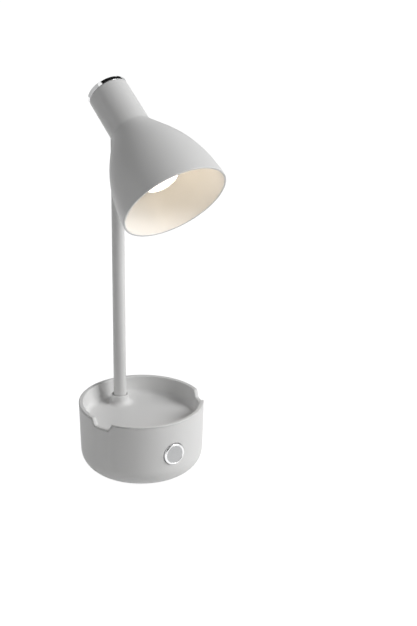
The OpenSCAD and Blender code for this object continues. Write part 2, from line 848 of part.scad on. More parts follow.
module carrier_screws() {
    color("silver") in_shade() on_carrier_screws() {
        translate([0, 0, carrier_z - small_head_t]) cylinder(r = small_head_r, h = small_head_t);
        translate([0, 0, carrier_z - eps]) cylinder(r = small_screw_r, h = small_screw_len);
    }
}

module along_hinge(x) {
    translate([x, stem_y, pivot_z]) rotate([0, 90, 0]) children();
}

module hinge_bolt() {
    end_x = ear_out + spring_washer_t + hinge_nut_t + 0.6;
    color("silver") {
        along_hinge(-end_x) cylinder(r = bolt_r, h = end_x + ear_out + eps);
        along_hinge(ear_out) cylinder(r = bolt_head_r, h = bolt_head_t);
    }
}

module spring_washer() {
    color("silver") along_hinge(-ear_out - spring_washer_t)
        ring(bolt_head_r, bolt_r + spin_gap, spring_washer_t);
}

module hinge_nut() {
    color("silver") along_hinge(-ear_out - spring_washer_t - hinge_nut_t) difference() {
        hexagon(hinge_nut_af, hinge_nut_t);
        translate([0, 0, -eps]) cylinder(r = bolt_r + screw_gap, h = hinge_nut_t + 1);
    }
}

module friction_washers() {
    color("peru") for (x = [-tongue_t / 2 - spin_gap - friction_t, tongue_t / 2 + spin_gap])
        along_hinge(x) ring(eye_r - 0.2, bolt_r + spin_gap, friction_t);
}

module hinge_lead() {
    color("red") lead(hinge_route);
}

// ---- Shade ----

// Filled half section of the bell and neck, drawn in from its outer surface
module shade_section(inset, start_z) {
    neck = [[0, start_z], [neck_r - inset, start_z], [neck_r + neck_flare - inset, neck_len - inset / 2]];
    polygon(concat(neck, bell_curve(inset), [bell_end(inset), [0, bell_end(inset)[1]]]));
}

module shade_bosses() {
    intersection() {
        rotate_extrude() shade_section(shade_t / 2, cap_len + cap_seam + 1);
        union() {
            on_carrier_screws() translate([0, 0, carrier_z + carrier_t]) {
                cylinder(r = carrier_boss_r, h = carrier_boss_len);
                translate([0, -carrier_boss_r / 2, 0]) cube([8, carrier_boss_r, carrier_boss_len]);
            }
            on_pot_screws() {
                translate([0, 0, neck_len]) cylinder(r = ear_boss_r, h = flange_seat_z - neck_len);
                translate([0, -1, neck_len]) cube([12, 2, flange_seat_z - neck_len]);
            }
        }
    }
}

// Slot in the neck's underside, long enough for the stem over the whole tilt, and on into the
// bell where the stem would reach it
module neck_slot() {
    up_lean = shade_tilt - tilt_up;
    down_lean = shade_tilt + tilt_down;
    back_z = neck_back + min(neck_in_r * tan(up_lean), neck_r * tan(up_lean)) - slot_half_w / cos(up_lean);
    neck_front_z = neck_back + bell_p0[0] * tan(down_lean) + slot_half_w / cos(down_lean);
    bell_gain = tan(bell_start_slope) * tan(down_lean);
    bell_front_z = (neck_front_z - neck_len * bell_gain) / (1 - bell_gain) + fold_gap;
    front_z = neck_front_z > neck_len ? bell_front_z : neck_front_z;
    translate([0, 0, back_z + slot_half_w]) rotate([90, 0, 0]) cylinder(r = slot_half_w, h = big / 4);
    translate([0, 0, front_z - slot_half_w]) rotate([90, 0, 0]) cylinder(r = slot_half_w, h = big / 4);
    translate([-slot_half_w, -big / 4, back_z + slot_half_w])
        cube([2 * slot_half_w, big / 4, front_z - back_z - 2 * slot_half_w]);
}

module shade_shell() {
    color("white") in_shade() difference() {
        union() {
            difference() {
                rotate_extrude() shade_section(0, cap_len + cap_seam);
                rotate_extrude() shade_section(shade_t, cap_len + cap_seam - 1);
            }
            shade_bosses();
        }
        translate([0, 0, shade_len]) rotate([mouth_slant, 0, 0])
            translate([-big / 2, -big / 2, 0]) cube([big, big, big / 4]);
        neck_slot();
        on_carrier_screws() translate([0, 0, carrier_z + carrier_t - eps])
            cylinder(r = small_screw_r + screw_gap, h = carrier_boss_len + 1);
        on_pot_screws() translate([0, 0, flange_seat_z - pot_screw_len - 2])
            cylinder(r = pot_screw_r + screw_gap, h = big / 10);
    }
}

module end_cap_section() {
    difference() {
        union() {
            square([neck_r, cap_len]);
            square([neck_in_r - push_gap, cap_len + skirt_len]);
        }
        translate([0, cap_t]) square([neck_in_r - push_gap - skirt_t, big]);
        translate([neck_r - cap_edge_r, cap_edge_r]) mirror([0, 1]) corner_waste(cap_edge_r);
    }
}

module end_cap() {
    color("gainsboro") in_shade() rotate_extrude() end_cap_section();
}

// ---- Light source ----

module on_pot_screws() {
    for (a = [90:120:330]) rotate([0, 0, a]) translate([pot_screw_ring, 0, 0]) children();
}

module led_housing() {
    color("white") in_shade() difference() {
        union() {
            translate([0, 0, flange_seat_z]) cylinder(r = pot_flange_r, h = pot_flange_t);
            translate([0, 0, flange_seat_z]) cylinder(r = pot_r, h = diffuser_z - flange_seat_z);
        }
        translate([0, 0, flange_seat_z + pot_flange_t])
            cylinder(r = pot_in_r - pot_step, h = big);
        translate([0, 0, sink_top_z - sink_disc_t]) cylinder(r = pot_in_r, h = big);
        translate([0, 0, flange_seat_z - eps]) cylinder(r = lead_r + lead_gap, h = big);
        on_pot_screws() translate([0, 0, flange_seat_z - eps])
            cylinder(r = pot_screw_r + pass_gap, h = pot_flange_t + 1);
    }
}

module housing_screws() {
    color("silver") in_shade() on_pot_screws() translate([0, 0, flange_seat_z]) {
        translate([0, 0, pot_flange_t]) cylinder(r = pot_head_r, h = pot_head_t);
        translate([0, 0, -pot_screw_len]) cylinder(r = pot_screw_r, h = pot_screw_len + pot_flange_t + eps);
    }
}

module heat_sink() {
    fin_len = sink_top_z - sink_disc_t - flange_seat_z - pot_flange_t - 2;
    fin_r = pot_in_r - pot_step - seat_gap;
    color("lightsteelblue") in_shade() difference() {
        union() {
            translate([0, 0, sink_top_z - sink_disc_t]) cylinder(r = pot_in_r - push_gap, h = sink_disc_t);
            intersection() {
                translate([0, 0, sink_top_z - sink_disc_t - fin_len]) cylinder(r = fin_r, h = fin_len + eps);
                for (x = [-3.5:3.5]) translate([x * sink_fin_pitch - sink_fin_t / 2, -big / 2, 0])
                    cube([sink_fin_t, big, big]);
            }
        }
        translate([0, 0, -eps]) cylinder(r = lead_r + seat_gap, h = big);
        on_led_screws() translate([0, 0, sink_top_z - small_screw_len])
            cylinder(r = small_screw_r + screw_gap, h = big / 10);
    }
}

module on_led_screws() {
    mirrored_x() translate([led_board_r - 2.6, 0, 0]) children();
}

module led_board() {
    color("white") in_shade() difference() {
        translate([0, 0, sink_top_z]) cylinder(r = led_board_r, h = led_board_t);
        on_led_screws() translate([0, 0, sink_top_z - eps])
            cylinder(r = small_screw_r + pass_gap, h = big / 10);
    }
}

module led_chips() {
    color("khaki") in_shade() for (i = [0:chip_count - 1])
        rotate([0, 0, (i + 0.5) * 360 / chip_count])
            translate([chip_ring_r - led_chip_w / 2, -led_chip_w / 2, sink_top_z + led_board_t])
                cube([led_chip_w, led_chip_w, led_chip_t]);
}

module led_screws() {
    color("silver") in_shade() on_led_screws() {
        translate([0, 0, sink_top_z + led_board_t]) cylinder(r = small_head_r, h = small_head_t);
        translate([0, 0, sink_top_z + led_board_t - small_screw_len])
            cylinder(r = small_screw_r, h = small_screw_len + eps);
    }
}

module diffuser() {
    color("ivory") in_shade() {
        translate([0, 0, diffuser_z - diffuser_t]) cylinder(r = pot_in_r - push_gap, h = diffuser_t);
        translate([0, 0, sink_top_z + led_board_t]) ring(pot_in_r - push_gap, led_board_r - push_gap,
            diffuser_z - diffuser_t - sink_top_z - led_board_t + eps);
    }
}

module head_lead() {
    color("red") in_shade() lead(head_route);
}

base_shell();
tray();
bottom_cover();
foot_pad();
cover_screws();
ballast_plate();
button_cap();
button_carrier();
button_spring();
button_retainer();
retainer_screws();
button_switch();
jack_body();
jack_contact();
jack_nut();
driver_board();
board_screws();
inductor();
capacitors();
driver_chip();
base_leads();
stem_tube();
stem_nipple();
stem_washer();
stem_nut();
stem_lead();
hinge_knuckle();
shade_shell();
end_cap();
hinge_carrier();
carrier_screws();
hinge_bolt();
spring_washer();
hinge_nut();
friction_washers();
led_housing();
housing_screws();
heat_sink();
led_board();
led_chips();
led_screws();
diffuser();
hinge_lead();
head_lead();
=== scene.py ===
"""Desk lamp: a round tray base with a push button, a thin stem and a tilting bell shade."""
import json
import math

import bmesh
import bpy
import numpy as np
from bpy.props import FloatProperty, FloatVectorProperty, PointerProperty
from mathutils import Matrix, Vector


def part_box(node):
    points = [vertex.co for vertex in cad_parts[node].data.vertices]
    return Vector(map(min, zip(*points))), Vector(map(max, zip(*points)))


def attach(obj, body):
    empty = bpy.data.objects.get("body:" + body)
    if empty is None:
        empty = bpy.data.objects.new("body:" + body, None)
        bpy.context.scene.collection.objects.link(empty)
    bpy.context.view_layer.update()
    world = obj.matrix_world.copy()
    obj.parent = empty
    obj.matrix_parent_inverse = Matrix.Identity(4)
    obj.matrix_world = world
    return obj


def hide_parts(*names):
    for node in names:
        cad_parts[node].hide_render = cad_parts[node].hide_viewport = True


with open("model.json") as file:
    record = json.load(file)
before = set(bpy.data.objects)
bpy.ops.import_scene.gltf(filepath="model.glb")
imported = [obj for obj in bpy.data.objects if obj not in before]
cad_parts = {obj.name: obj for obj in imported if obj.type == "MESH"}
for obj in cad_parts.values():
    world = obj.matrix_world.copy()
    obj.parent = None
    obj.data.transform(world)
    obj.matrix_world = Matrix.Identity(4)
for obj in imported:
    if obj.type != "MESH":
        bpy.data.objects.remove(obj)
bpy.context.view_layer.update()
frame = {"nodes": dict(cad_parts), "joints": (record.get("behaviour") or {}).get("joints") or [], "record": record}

bl_info = {
    "name": "Tray Base Desk Lamp",
    "version": (1, 0, 0),
    "blender": (4, 5, 0),
    "location": "View3D > Sidebar > Desk Lamp",
    "description": "Builds the shells, trim and light of a small desk lamp round its frame",
    "category": "Add Mesh",
}

MM = 0.001

# Places read from the frame
TRAY_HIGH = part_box("tray")[1]
STEM_LOW, STEM_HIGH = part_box("stem_tube")
PIVOT = next(j["pos_m"] for j in frame["joints"] if j["name"] == "shade_tilt")
RIM_R = TRAY_HIGH[0]
RIM_Z = TRAY_HIGH[2]
STEM_Y = (STEM_LOW[1] + STEM_HIGH[1]) / 2
STEM_R = STEM_HIGH[0]
BUTTON_LOW, BUTTON_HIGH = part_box("button_cap")
BUTTON_Z = (BUTTON_LOW[2] + BUTTON_HIGH[2]) / 2
BUTTON_R = BUTTON_HIGH[0]
INLET_LOW, INLET_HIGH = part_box("jack_body")
INLET_Z = (INLET_LOW[2] + INLET_HIGH[2]) / 2
PAD_LOW, PAD_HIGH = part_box("foot_pad")

# Steps along curved surfaces
COLUMN_STEP = math.radians(1.5)
NOTCH_STEP = math.radians(0.4)
LATHE_SIDES = 144
SHADE_SIDES = 180
CREASE_SOFT = 1.2 * MM

# Near the notches the wall's columns keep to planes of equal y, which fades out on both sides
NOTCH_MARGIN = 3 * MM
NOTCH_FADE = 6 * MM
HOLD_FADE = 10 * MM
HOLD_FROM_R = 48 * MM
HOLD_OVER = 6 * MM

# Camera, lamps and floor
CAMERA_LENS = 189.03
CAMERA_PLACE = (-1.49527, -2.42791, 1.41619)
CAMERA_TARGET = (0.0862, 0.0146, 0.1341)
KEY_PLACE = (1.36, -1.48, 1.45)
KEY_SIZE = 1.3
KEY_ENERGY = 44
RIM_PLACE = (-1.6, 0.8, 0.7)
RIM_SIZE = 0.7
RIM_ENERGY = 3.2
WORLD_LEVEL = 0.14
GLOW_ENERGY = 0.026
GLOW_TINT = (1.0, 0.8, 0.54)
GLOW_SIDE = 14 * MM
GLOW_SIZE = 6 * MM
GLOW_AHEAD = -4 * MM
FLOOR_GLOW = 0.95
FLOOR_SHADOW = 0.3
FLOOR_REACH = 12
STAGE_MIDDLE = (0, 0, 0.2)

# Cards that only bright metal sees, for its dark and grey bands: name, place, target, width,
# height and tone
CARDS = (
    ("card_above", (0.35, -0.18, 1.4), (0.35, 0.02, 0), 2.1, 1.1, 0.01),
    ("card_corner", (1.0, 0.28, 0.8), (0, 0.08, 0.375), 0.5, 0.7, 0.01),
    ("card_behind", (0.31, 0.55, 0.08), (0.31, 0, 0.08), 0.38, 0.4, 0.01),
    ("card_front", (-0.7, -0.88, 0.74), (0, -0.06, 0.04), 1.7, 1.0, 0.01),
    ("card_side", (-0.5, 0.52, 0.45), (0, 0.08, 0.45), 1.7, 1.1, 0.52),
    ("card_low", (0, 0.62, 0.002), (0, 0.62, 1), 0.5, 0.5, 0.01),
    ("card_right", (0.85, 0.68, 0.17), (0, 0.08, 0.375), 1.2, 0.7, 0.6),
    ("card_table", (0.05, -0.24, 0.001), (0.05, -0.2, 1), 0.6, 0.34, 0.6),
)


def metres(name, text, value, low=0.0):
    """A length a user can change."""
    return FloatProperty(name=name, description=text, default=value, min=low, unit="LENGTH", precision=5)


def angle(name, text, degrees):
    """An angle a user can change."""
    return FloatProperty(name=name, description=text, default=math.radians(degrees), subtype="ANGLE")


def colour(name, text, value):
    """A colour a user can change."""
    return FloatVectorProperty(name=name, description=text, default=value, size=3, min=0, max=1,
                               subtype="COLOR")


class LampBaseSizes(bpy.types.PropertyGroup):
    """Sizes of the base and its tray."""

    wall_draft: metres("Wall draft", "How much narrower the wall is at its foot", 1.6 * MM)
    foot_round: metres("Foot round", "Radius of the rounded foot", 20.6 * MM)
    foot_top: metres("Foot top", "Height where the wall meets the rounded foot", 21.4 * MM)
    shell_t: metres("Shell wall", "Wall thickness of the shell", 2.6 * MM)
    flange_in: metres("Flange", "Inner radius of the flange over the cover", 33 * MM)
    flange_low: metres("Flange underside", "Height of the flange above the desk", 3.4 * MM)
    tray_depth: metres("Tray depth", "Depth of the tray below the rim", 16.9 * MM)
    tray_t: metres("Tray floor", "Thickness of the tray's floor", 2.4 * MM)
    rim_w: metres("Rim width", "Width of the rim seen from above", 4.4 * MM)
    tray_round: metres("Tray round", "Radius between the tray's floor and wall", 5 * MM)
    lip_t: metres("Lip", "Height of the lip over the shell's edge", 1.2 * MM)
    lip_round: metres("Lip round", "Radius of the lip's edges", 1 * MM)
    seam_t: metres("Seam", "Height of the shadow seam under the lip", 0.5 * MM)
    seam_depth: metres("Seam depth", "Depth of the shadow seam", 0.9 * MM)
    notch_front: metres("Notch place", "How far the notches lie in front of the centre", 18.5 * MM)
    notch_top: metres("Notch top", "Width of a notch at the rim", 22.6 * MM)
    notch_bottom: metres("Notch bottom", "Width of a notch at its bottom", 15.6 * MM)
    notch_depth: metres("Notch depth", "Depth of a notch", 6.9 * MM)
    notch_round: metres("Notch round", "Radius of a notch's corners", 1.6 * MM)
    collar_r: metres("Collar radius", "Outer radius of the collar round the stem", 8.4 * MM)
    collar_h: metres("Collar height", "Height of the collar above the tray's floor", 9.1 * MM)
    collar_flare: metres("Collar flare", "Radius of the flare at the collar's foot", 5.2 * MM)
    collar_gap: metres("Collar gap", "Gap between the stem and the collar's top", 0.7 * MM)


class LampShadeSizes(bpy.types.PropertyGroup):
    """Sizes of the shade, its cap and its light."""

    tilt: angle("Tilt", "Angle of the shade's axis below the horizontal", 31.6)
    neck_back: metres("Neck back", "Distance from the neck's outer end to the pivot", 21.3 * MM)
    neck_r: metres("Neck radius", "Outer radius of the neck at its outer end", 19.8 * MM)
    neck_flare: metres("Neck flare", "How much the neck widens towards the bell", 0.5 * MM)
    neck_len: metres("Neck length", "Length of the neck with its cap", 51.4 * MM)
    shade_len: metres("Shade length", "Length of the whole shade along its axis", 140.4 * MM)
    mouth_r: metres("Mouth radius", "Outer radius of the bell's mouth", 52.5 * MM)
    shade_t: metres("Shade wall", "Wall thickness of the shade", 2.2 * MM)
    start_slope: angle("Start slope", "Slope of the bell where it leaves the neck", 26)
    start_pull: metres("Start pull", "Length over which the bell holds its first slope", 21 * MM)
    end_slope: angle("End slope", "Slope of the bell at its mouth", 3)
    end_pull: metres("End pull", "Length over which the bell holds its last slope", 52.5 * MM)
    mouth_slant: angle("Mouth slant", "Slant of the mouth, longer at the top", 4)
    cap_len: metres("Cap length", "Length of the chrome cap's visible band", 4.6 * MM)
    cap_seam: metres("Cap seam", "Gap between the cap and the neck", 0.3 * MM)
    pot_r: metres("Pot radius", "Outer radius of the pot that holds the light", 18.2 * MM)
    pot_t: metres("Pot wall", "Wall thickness of the pot", 1.2 * MM)
    pot_seat: metres("Pot seat", "Distance from the neck's end to the pot's flange", 68 * MM)
    diffuser_inset: metres("Diffuser inset", "Distance from the mouth in to the diffuser", 27 * MM)


class LampFinish(bpy.types.PropertyGroup):
    """Colours and light a user can change."""

    white: colour("White", "Colour of the moulded and painted white pieces", (0.80, 0.80, 0.795))
    chrome: colour("Chrome", "Tint of the plated trim", (0.88, 0.885, 0.89))
    light: colour("Light", "Colour of the lit diffuser", (1.0, 0.86, 0.70))
    light_strength: FloatProperty(name="Light strength", description="Strength of the lit diffuser",
                                  default=3.0, min=0)


def base_sizes():
    return bpy.context.scene.lamp_base


def shade_sizes():
    return bpy.context.scene.lamp_shade


def finish():
    return bpy.context.scene.lamp_finish


# ---- Building skins ----

class Skin:
    """Vertices and faces gathered ring by ring."""

    def __init__(self):
        self.points = []
        self.faces = []

    def ring(self, points):
        """Adds a ring of points and returns their numbers."""
        start = len(self.points)
        self.points.extend(tuple(float(v) for v in p) for p in points)
        return list(range(start, len(self.points)))

    def bridge(self, a, b):
        """Joins two closed rings of the same length with quads."""
        n = len(a)
        for i in range(n):
            j = (i + 1) % n
            self.faces.append((a[i], a[j], b[j], b[i]))

    def grow(self, last, points):
        """Adds a ring, joins it to the one before it and returns it."""
        here = self.ring(points)
        self.bridge(last, here)
        return here


def make_object(name, skin, material, body, replaces=(), place=None, crease=40):
    """Turns a skin into a smooth piece that rides on a body."""
    mesh = bpy.data.meshes.new(name)
    mesh.from_pydata(skin.points, [], skin.faces)
    if place is not None:
        mesh.transform(place)
    work = bmesh.new()
    work.from_mesh(mesh)
    bmesh.ops.remove_doubles(work, verts=work.verts, dist=1e-7)
    bmesh.ops.recalc_face_normals(work, faces=work.faces)
    work.to_mesh(mesh)
    work.free()
    mesh.shade_smooth()
    mesh.set_sharp_from_angle(angle=math.radians(crease))
    mesh.materials.append(material)
    piece = bpy.data.objects.new(name, mesh)
    bpy.context.scene.collection.objects.link(piece)
    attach(piece, body)
    if replaces:
        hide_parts(*replaces)
    return piece


def arc(centre, radius, start, end, steps=6):
    """Points on an arc in the profile plane, angles in degrees from +r towards +z."""
    turns = np.radians(np.linspace(start, end, steps + 1))
    return [(centre[0] + radius * math.cos(t), centre[1] + radius * math.sin(t)) for t in turns]


def rounded(corners, radii, steps=5):
    """A closed profile with each corner rounded by its radius."""
    out = []
    n = len(corners)
    for i in range(n):
        here = np.array(corners[i])
        before = np.array(corners[i - 1]) - here
        after = np.array(corners[(i + 1) % n]) - here
        radius = radii[i]
        if radius <= 0:
            out.append(tuple(here))
            continue
        before /= np.linalg.norm(before)
        after /= np.linalg.norm(after)
        half = math.acos(max(-1.0, min(1.0, float(before @ after)))) / 2
        reach = radius / math.tan(half)
        middle = (before + after) / np.linalg.norm(before + after)
        centre = here + middle * radius / math.sin(half)
        first = here + before * reach - centre
        last = here + after * reach - centre
        start = math.atan2(first[1], first[0])
        turn = (math.atan2(last[1], last[0]) - start + math.pi) % (2 * math.pi) - math.pi
        for k in range(steps + 1):
            t = start + turn * k / steps
            out.append((centre[0] + radius * math.cos(t), centre[1] + radius * math.sin(t)))
    return out


def circle(radius, z, sides=LATHE_SIDES):
    turns = np.linspace(0, 2 * math.pi, sides, endpoint=False)
    return [(radius * math.cos(t), radius * math.sin(t), z) for t in turns]


def lathe(profile, closed=True, sides=LATHE_SIDES):
    """A skin of revolution about z from (radius, height) points; a radius of 0 closes it."""
    skin = Skin()
    rows = []
    for r, z in profile:
        rows.append(skin.ring([(0, 0, z)]) if r < 1e-9 else skin.ring(circle(r, z, sides)))
    pairs = list(zip(rows, rows[1:]))
    if closed and profile[0][0] > 1e-9 and profile[-1][0] > 1e-9:
        pairs.append((rows[-1], rows[0]))
    for a, b in pairs:
        if len(a) == 1 and len(b) == 1:
            continue
        if len(a) == 1 or len(b) == 1:
            hub, ring = (a[0], b) if len(a) == 1 else (b[0], a)
            for i in range(sides):
                skin.faces.append((ring[i], ring[(i + 1) % sides], hub))
        else:
            skin.bridge(a, b)
    return skin


def holed_grid(skin, turns, rows, place, holes):
    """A grid round the axis, one ring of points a row, with a round or long hole in each patch.

    turns are the columns' angles, rows[j](k) gives column k's height in row j, and place(turn,
    height) the point there. Each hole gives the patch's columns and rows, its middle, and edge(way),
    the (turn, height) of its rim in a direction. Returns the first and last rings and each hole's rim.
    """
    count = len(turns)
    heights = np.array([[row(k) for k in range(count)] for row in rows])
    index = np.full((len(rows), count), -1)
    inner = np.zeros((len(rows), count), bool)
    cells = np.zeros((len(rows), count), bool)
    for hole in holes:
        for j in range(hole["rows"][0], hole["rows"][1] + 1):
            for k in range(hole["columns"][0], hole["columns"][1] + 1):
                on_edge = j in hole["rows"] or k in hole["columns"]
                inner[j, k % count] |= not on_edge
                if j < hole["rows"][1] and k < hole["columns"][1]:
                    cells[j, k % count] = True
    for j in range(len(rows)):
        for k in range(count):
            if not inner[j, k]:
                index[j, k] = skin.ring([place(turns[k], heights[j, k])])[0]
    for j in range(len(rows) - 1):
        for k in range(count):
            if not cells[j, k]:
                n = (k + 1) % count
                skin.faces.append(tuple(int(v) for v in
                                        (index[j, k], index[j, n], index[j + 1, n], index[j + 1, k])))
    rims = []
    for hole in holes:
        j0, j1 = hole["rows"]
        k0, k1 = hole["columns"]
        walk = [(j0, k) for k in range(k0, k1)] + [(j, k1) for j in range(j0, j1)]
        walk += [(j1, k) for k in range(k1, k0, -1)] + [(j, k0) for j in range(j1, j0, -1)]
        outer = [int(index[j, k % count]) for j, k in walk]
        starts = [(turns[k % count] + 2 * math.pi * (k // count), heights[j, k % count]) for j, k in walk]
        ways = [hole["way"](*s) for s in starts]
        last = outer
        for step in range(1, hole["steps"] + 1):
            share = step / hole["steps"]
            ring = []
            for start, way in zip(starts, ways):
                end = hole["edge"](way)
                ring.append(place(start[0] + (end[0] - start[0]) * share,
                                  start[1] + (end[1] - start[1]) * share))
            last = skin.grow(last, ring)
        rims.append((last, ways))
    return [int(v) for v in index[0]], [int(v) for v in index[-1]], rims


def stitch(skin, a, a_ways, b, b_ways):
    """Joins two rings of different lengths with triangles, following their ways round."""
    def unwound(ways):
        return np.unwrap(np.array(ways + ways[:1]))

    ta, tb = unwound(a_ways), unwound(b_ways)
    tb += round((ta[0] - tb[0]) / (2 * math.pi)) * 2 * math.pi
    sign = 1 if ta[-1] + ta[-2] > ta[0] + ta[1] else -1
    ta[-1] = ta[0] + sign * 2 * math.pi
    tb[-1] = tb[0] + sign * 2 * math.pi
    i = j = 0
    while i < len(a) or j < len(b):
        if j >= len(b) or (i < len(a) and sign * ta[i + 1] <= sign * tb[j + 1]):
            skin.faces.append((a[i % len(a)], a[(i + 1) % len(a)], b[j % len(b)]))
            i += 1
        else:
            skin.faces.append((a[i % len(a)], b[(j + 1) % len(b)], b[j % len(b)]))
            j += 1


def ease(t):
    """A smooth step from 0 to 1."""
    t = min(1.0, max(0.0, t))
    return t * t * (3 - 2 * t)


# ---- Base ----

class BaseForm:
    """The shared surfaces of the base: its wall, its rim edge and the columns that follow both."""

    def __init__(self):
        self.s = base_sizes()
        s = self.s
        self.lip_edge = RIM_Z - s.lip_round
        self.foot_flat = RIM_R - s.wall_draft - s.foot_round
        self.floor_z = RIM_Z - s.tray_depth
        self.under_z = self.floor_z - s.tray_t
        self.tray_in = RIM_R - s.rim_w
        self.tray_floor = self.tray_in - 1 * MM
        self.outline = self.notch_outline()
        self.turns = self.column_turns()

    def notch_outline(self):
        s = self.s
        reach = 12 * MM
        top, bottom = s.notch_top / 2, s.notch_bottom / 2
        low = RIM_Z - s.notch_depth
        corners = [(-top - reach, RIM_Z), (-top, RIM_Z), (-bottom, low),
                   (bottom, low), (top, RIM_Z), (top + reach, RIM_Z)]
        line = np.array(rounded(corners, [0] + [s.notch_round] * 4 + [0], 12))
        line[:, 0] -= s.notch_front
        run = np.concatenate([[0], np.cumsum(np.linalg.norm(np.diff(line, axis=0), axis=1))])
        even = np.linspace(0, run[-1], int(run[-1] / (0.08 * MM)))
        return np.stack([np.interp(even, run, line[:, 0]), np.interp(even, run, line[:, 1])], 1)

    def column_turns(self):
        """Angles of the columns, mirrored left to right and closer together at the notches."""
        s = self.s
        fine = np.radians(np.linspace(-90, 90, 3601))
        y = RIM_R * np.sin(fine)
        beyond = np.maximum(np.abs(y + s.notch_front) - s.notch_top / 2 - NOTCH_MARGIN, 0) / NOTCH_FADE
        step = NOTCH_STEP + (COLUMN_STEP - NOTCH_STEP) * np.clip(beyond, 0, 1)
        run = np.concatenate([[0], np.cumsum(np.diff(fine) / step[1:])])
        count = round(run[-1])
        right = np.interp(np.linspace(0, run[-1], count + 1), run, fine)
        left = math.pi - right[1:-1][::-1]
        return np.concatenate([right, left])

    def wall_r(self, z):
        s = self.s
        if z >= s.foot_top:
            return RIM_R - s.wall_draft * max(0.0, self.lip_edge - z) / (self.lip_edge - s.foot_top)
        return self.foot_flat + math.sqrt(max(0.0, s.foot_round ** 2 - (s.foot_top - z) ** 2))

    def inner_r(self, z):
        s = self.s
        if z >= s.foot_top:
            return self.wall_r(z) - s.shell_t
        inner_round = s.foot_round - s.shell_t
        return self.foot_flat + math.sqrt(max(0.0, inner_round ** 2 - (s.foot_top - z) ** 2))

    def spot(self, turn, r, z):
        """A point at radius r; near the notches the columns keep to planes of equal y."""
        s = self.s
        y_rim = RIM_R * math.sin(turn)
        away = abs(y_rim + s.notch_front) - s.notch_top / 2 - NOTCH_MARGIN
        hold = (1 - ease(away / HOLD_FADE)) * ease((r - HOLD_FROM_R) / HOLD_OVER)
        y = math.sin(turn) * (r + (RIM_R - r) * hold)
        x = math.copysign(math.sqrt(max(0.0, r * r - y * y)), math.cos(turn))
        return x, y, z

    def edge_z(self, y, depth):
        """Height of the rim's edge at y, drawn in by a depth on all sides."""
        near = np.abs(self.outline[:, 0] - y) <= max(depth, 0.1 * MM)
        if not near.any():
            return RIM_Z - depth
        points = self.outline[near]
        if depth <= 0:
            return float(np.interp(y, self.outline[:, 0], self.outline[:, 1]))
        return float(np.min(points[:, 1] - np.sqrt(np.maximum(0, depth ** 2 - (points[:, 0] - y) ** 2))))

    def edge_ring(self, radius, depth, drop=0.0):
        """A ring that follows the rim's edge at a depth; radius(z) gives its distance from the axis."""
        out = []
        for turn in self.turns:
            _, y, _ = self.spot(turn, RIM_R - self.s.rim_w, 0)
            z = self.edge_z(y, depth) - drop
            x, y, _ = self.spot(turn, radius(z), 0)
            out.append((x, y, z))
        return out

    def below_wall(self, inset):
        """The radius at an inset from the wall's surface, as a function of height."""
        return lambda z: self.wall_r(z) - inset

    def level_ring(self, r, z):
        return [self.spot(turn, r, z) for turn in self.turns]

    def column_of(self, turn):
        return int(np.argmin(np.abs(self.turns - turn)))


def round_hole(form, side, middle_z, radius, surface, rows, columns, steps=4):
    """The patch round a round hole whose axis runs along y, on the front (-1) or back (+1)."""
    def way(turn, z):
        return math.atan2(z - middle_z, surface(z) * math.cos(turn))

    def edge(way_round):
        x = radius * math.cos(way_round)
        z = middle_z + radius * math.sin(way_round)
        y = side * math.sqrt(surface(z) ** 2 - x * x)
        return math.atan2(y, x), z

    middle = form.column_of(side * math.pi / 2)
    return {"rows": rows, "columns": (middle - columns, middle + columns), "steps": steps,
            "way": way, "edge": edge}


def bore_rings(ways, middle_z, steps):
    """Rings round an axis along y, from (radius, y) pairs."""
    return [[(r * math.cos(w), y, middle_z + r * math.sin(w)) for w in ways] for r, y in steps]


def eased_mouth(ways, middle_z, side, radius, edge_r, surface, floor_y, steps=4):
    """Rings that round a hole's rim from the wall's surface into the hole."""
    out = []
    for k in range(1, steps + 1):
        t = math.pi / 2 * k / steps
        r = radius + edge_r * (1 - math.sin(t))
        ring = []
        for w in ways:
            x, z = r * math.cos(w), middle_z + r * math.sin(w)
            depth = math.sqrt(surface(z) ** 2 - x * x) - edge_r * (1 - math.cos(t))
            ring.append((x, side * max(depth, floor_y), z))
        out.append(ring)
    return out


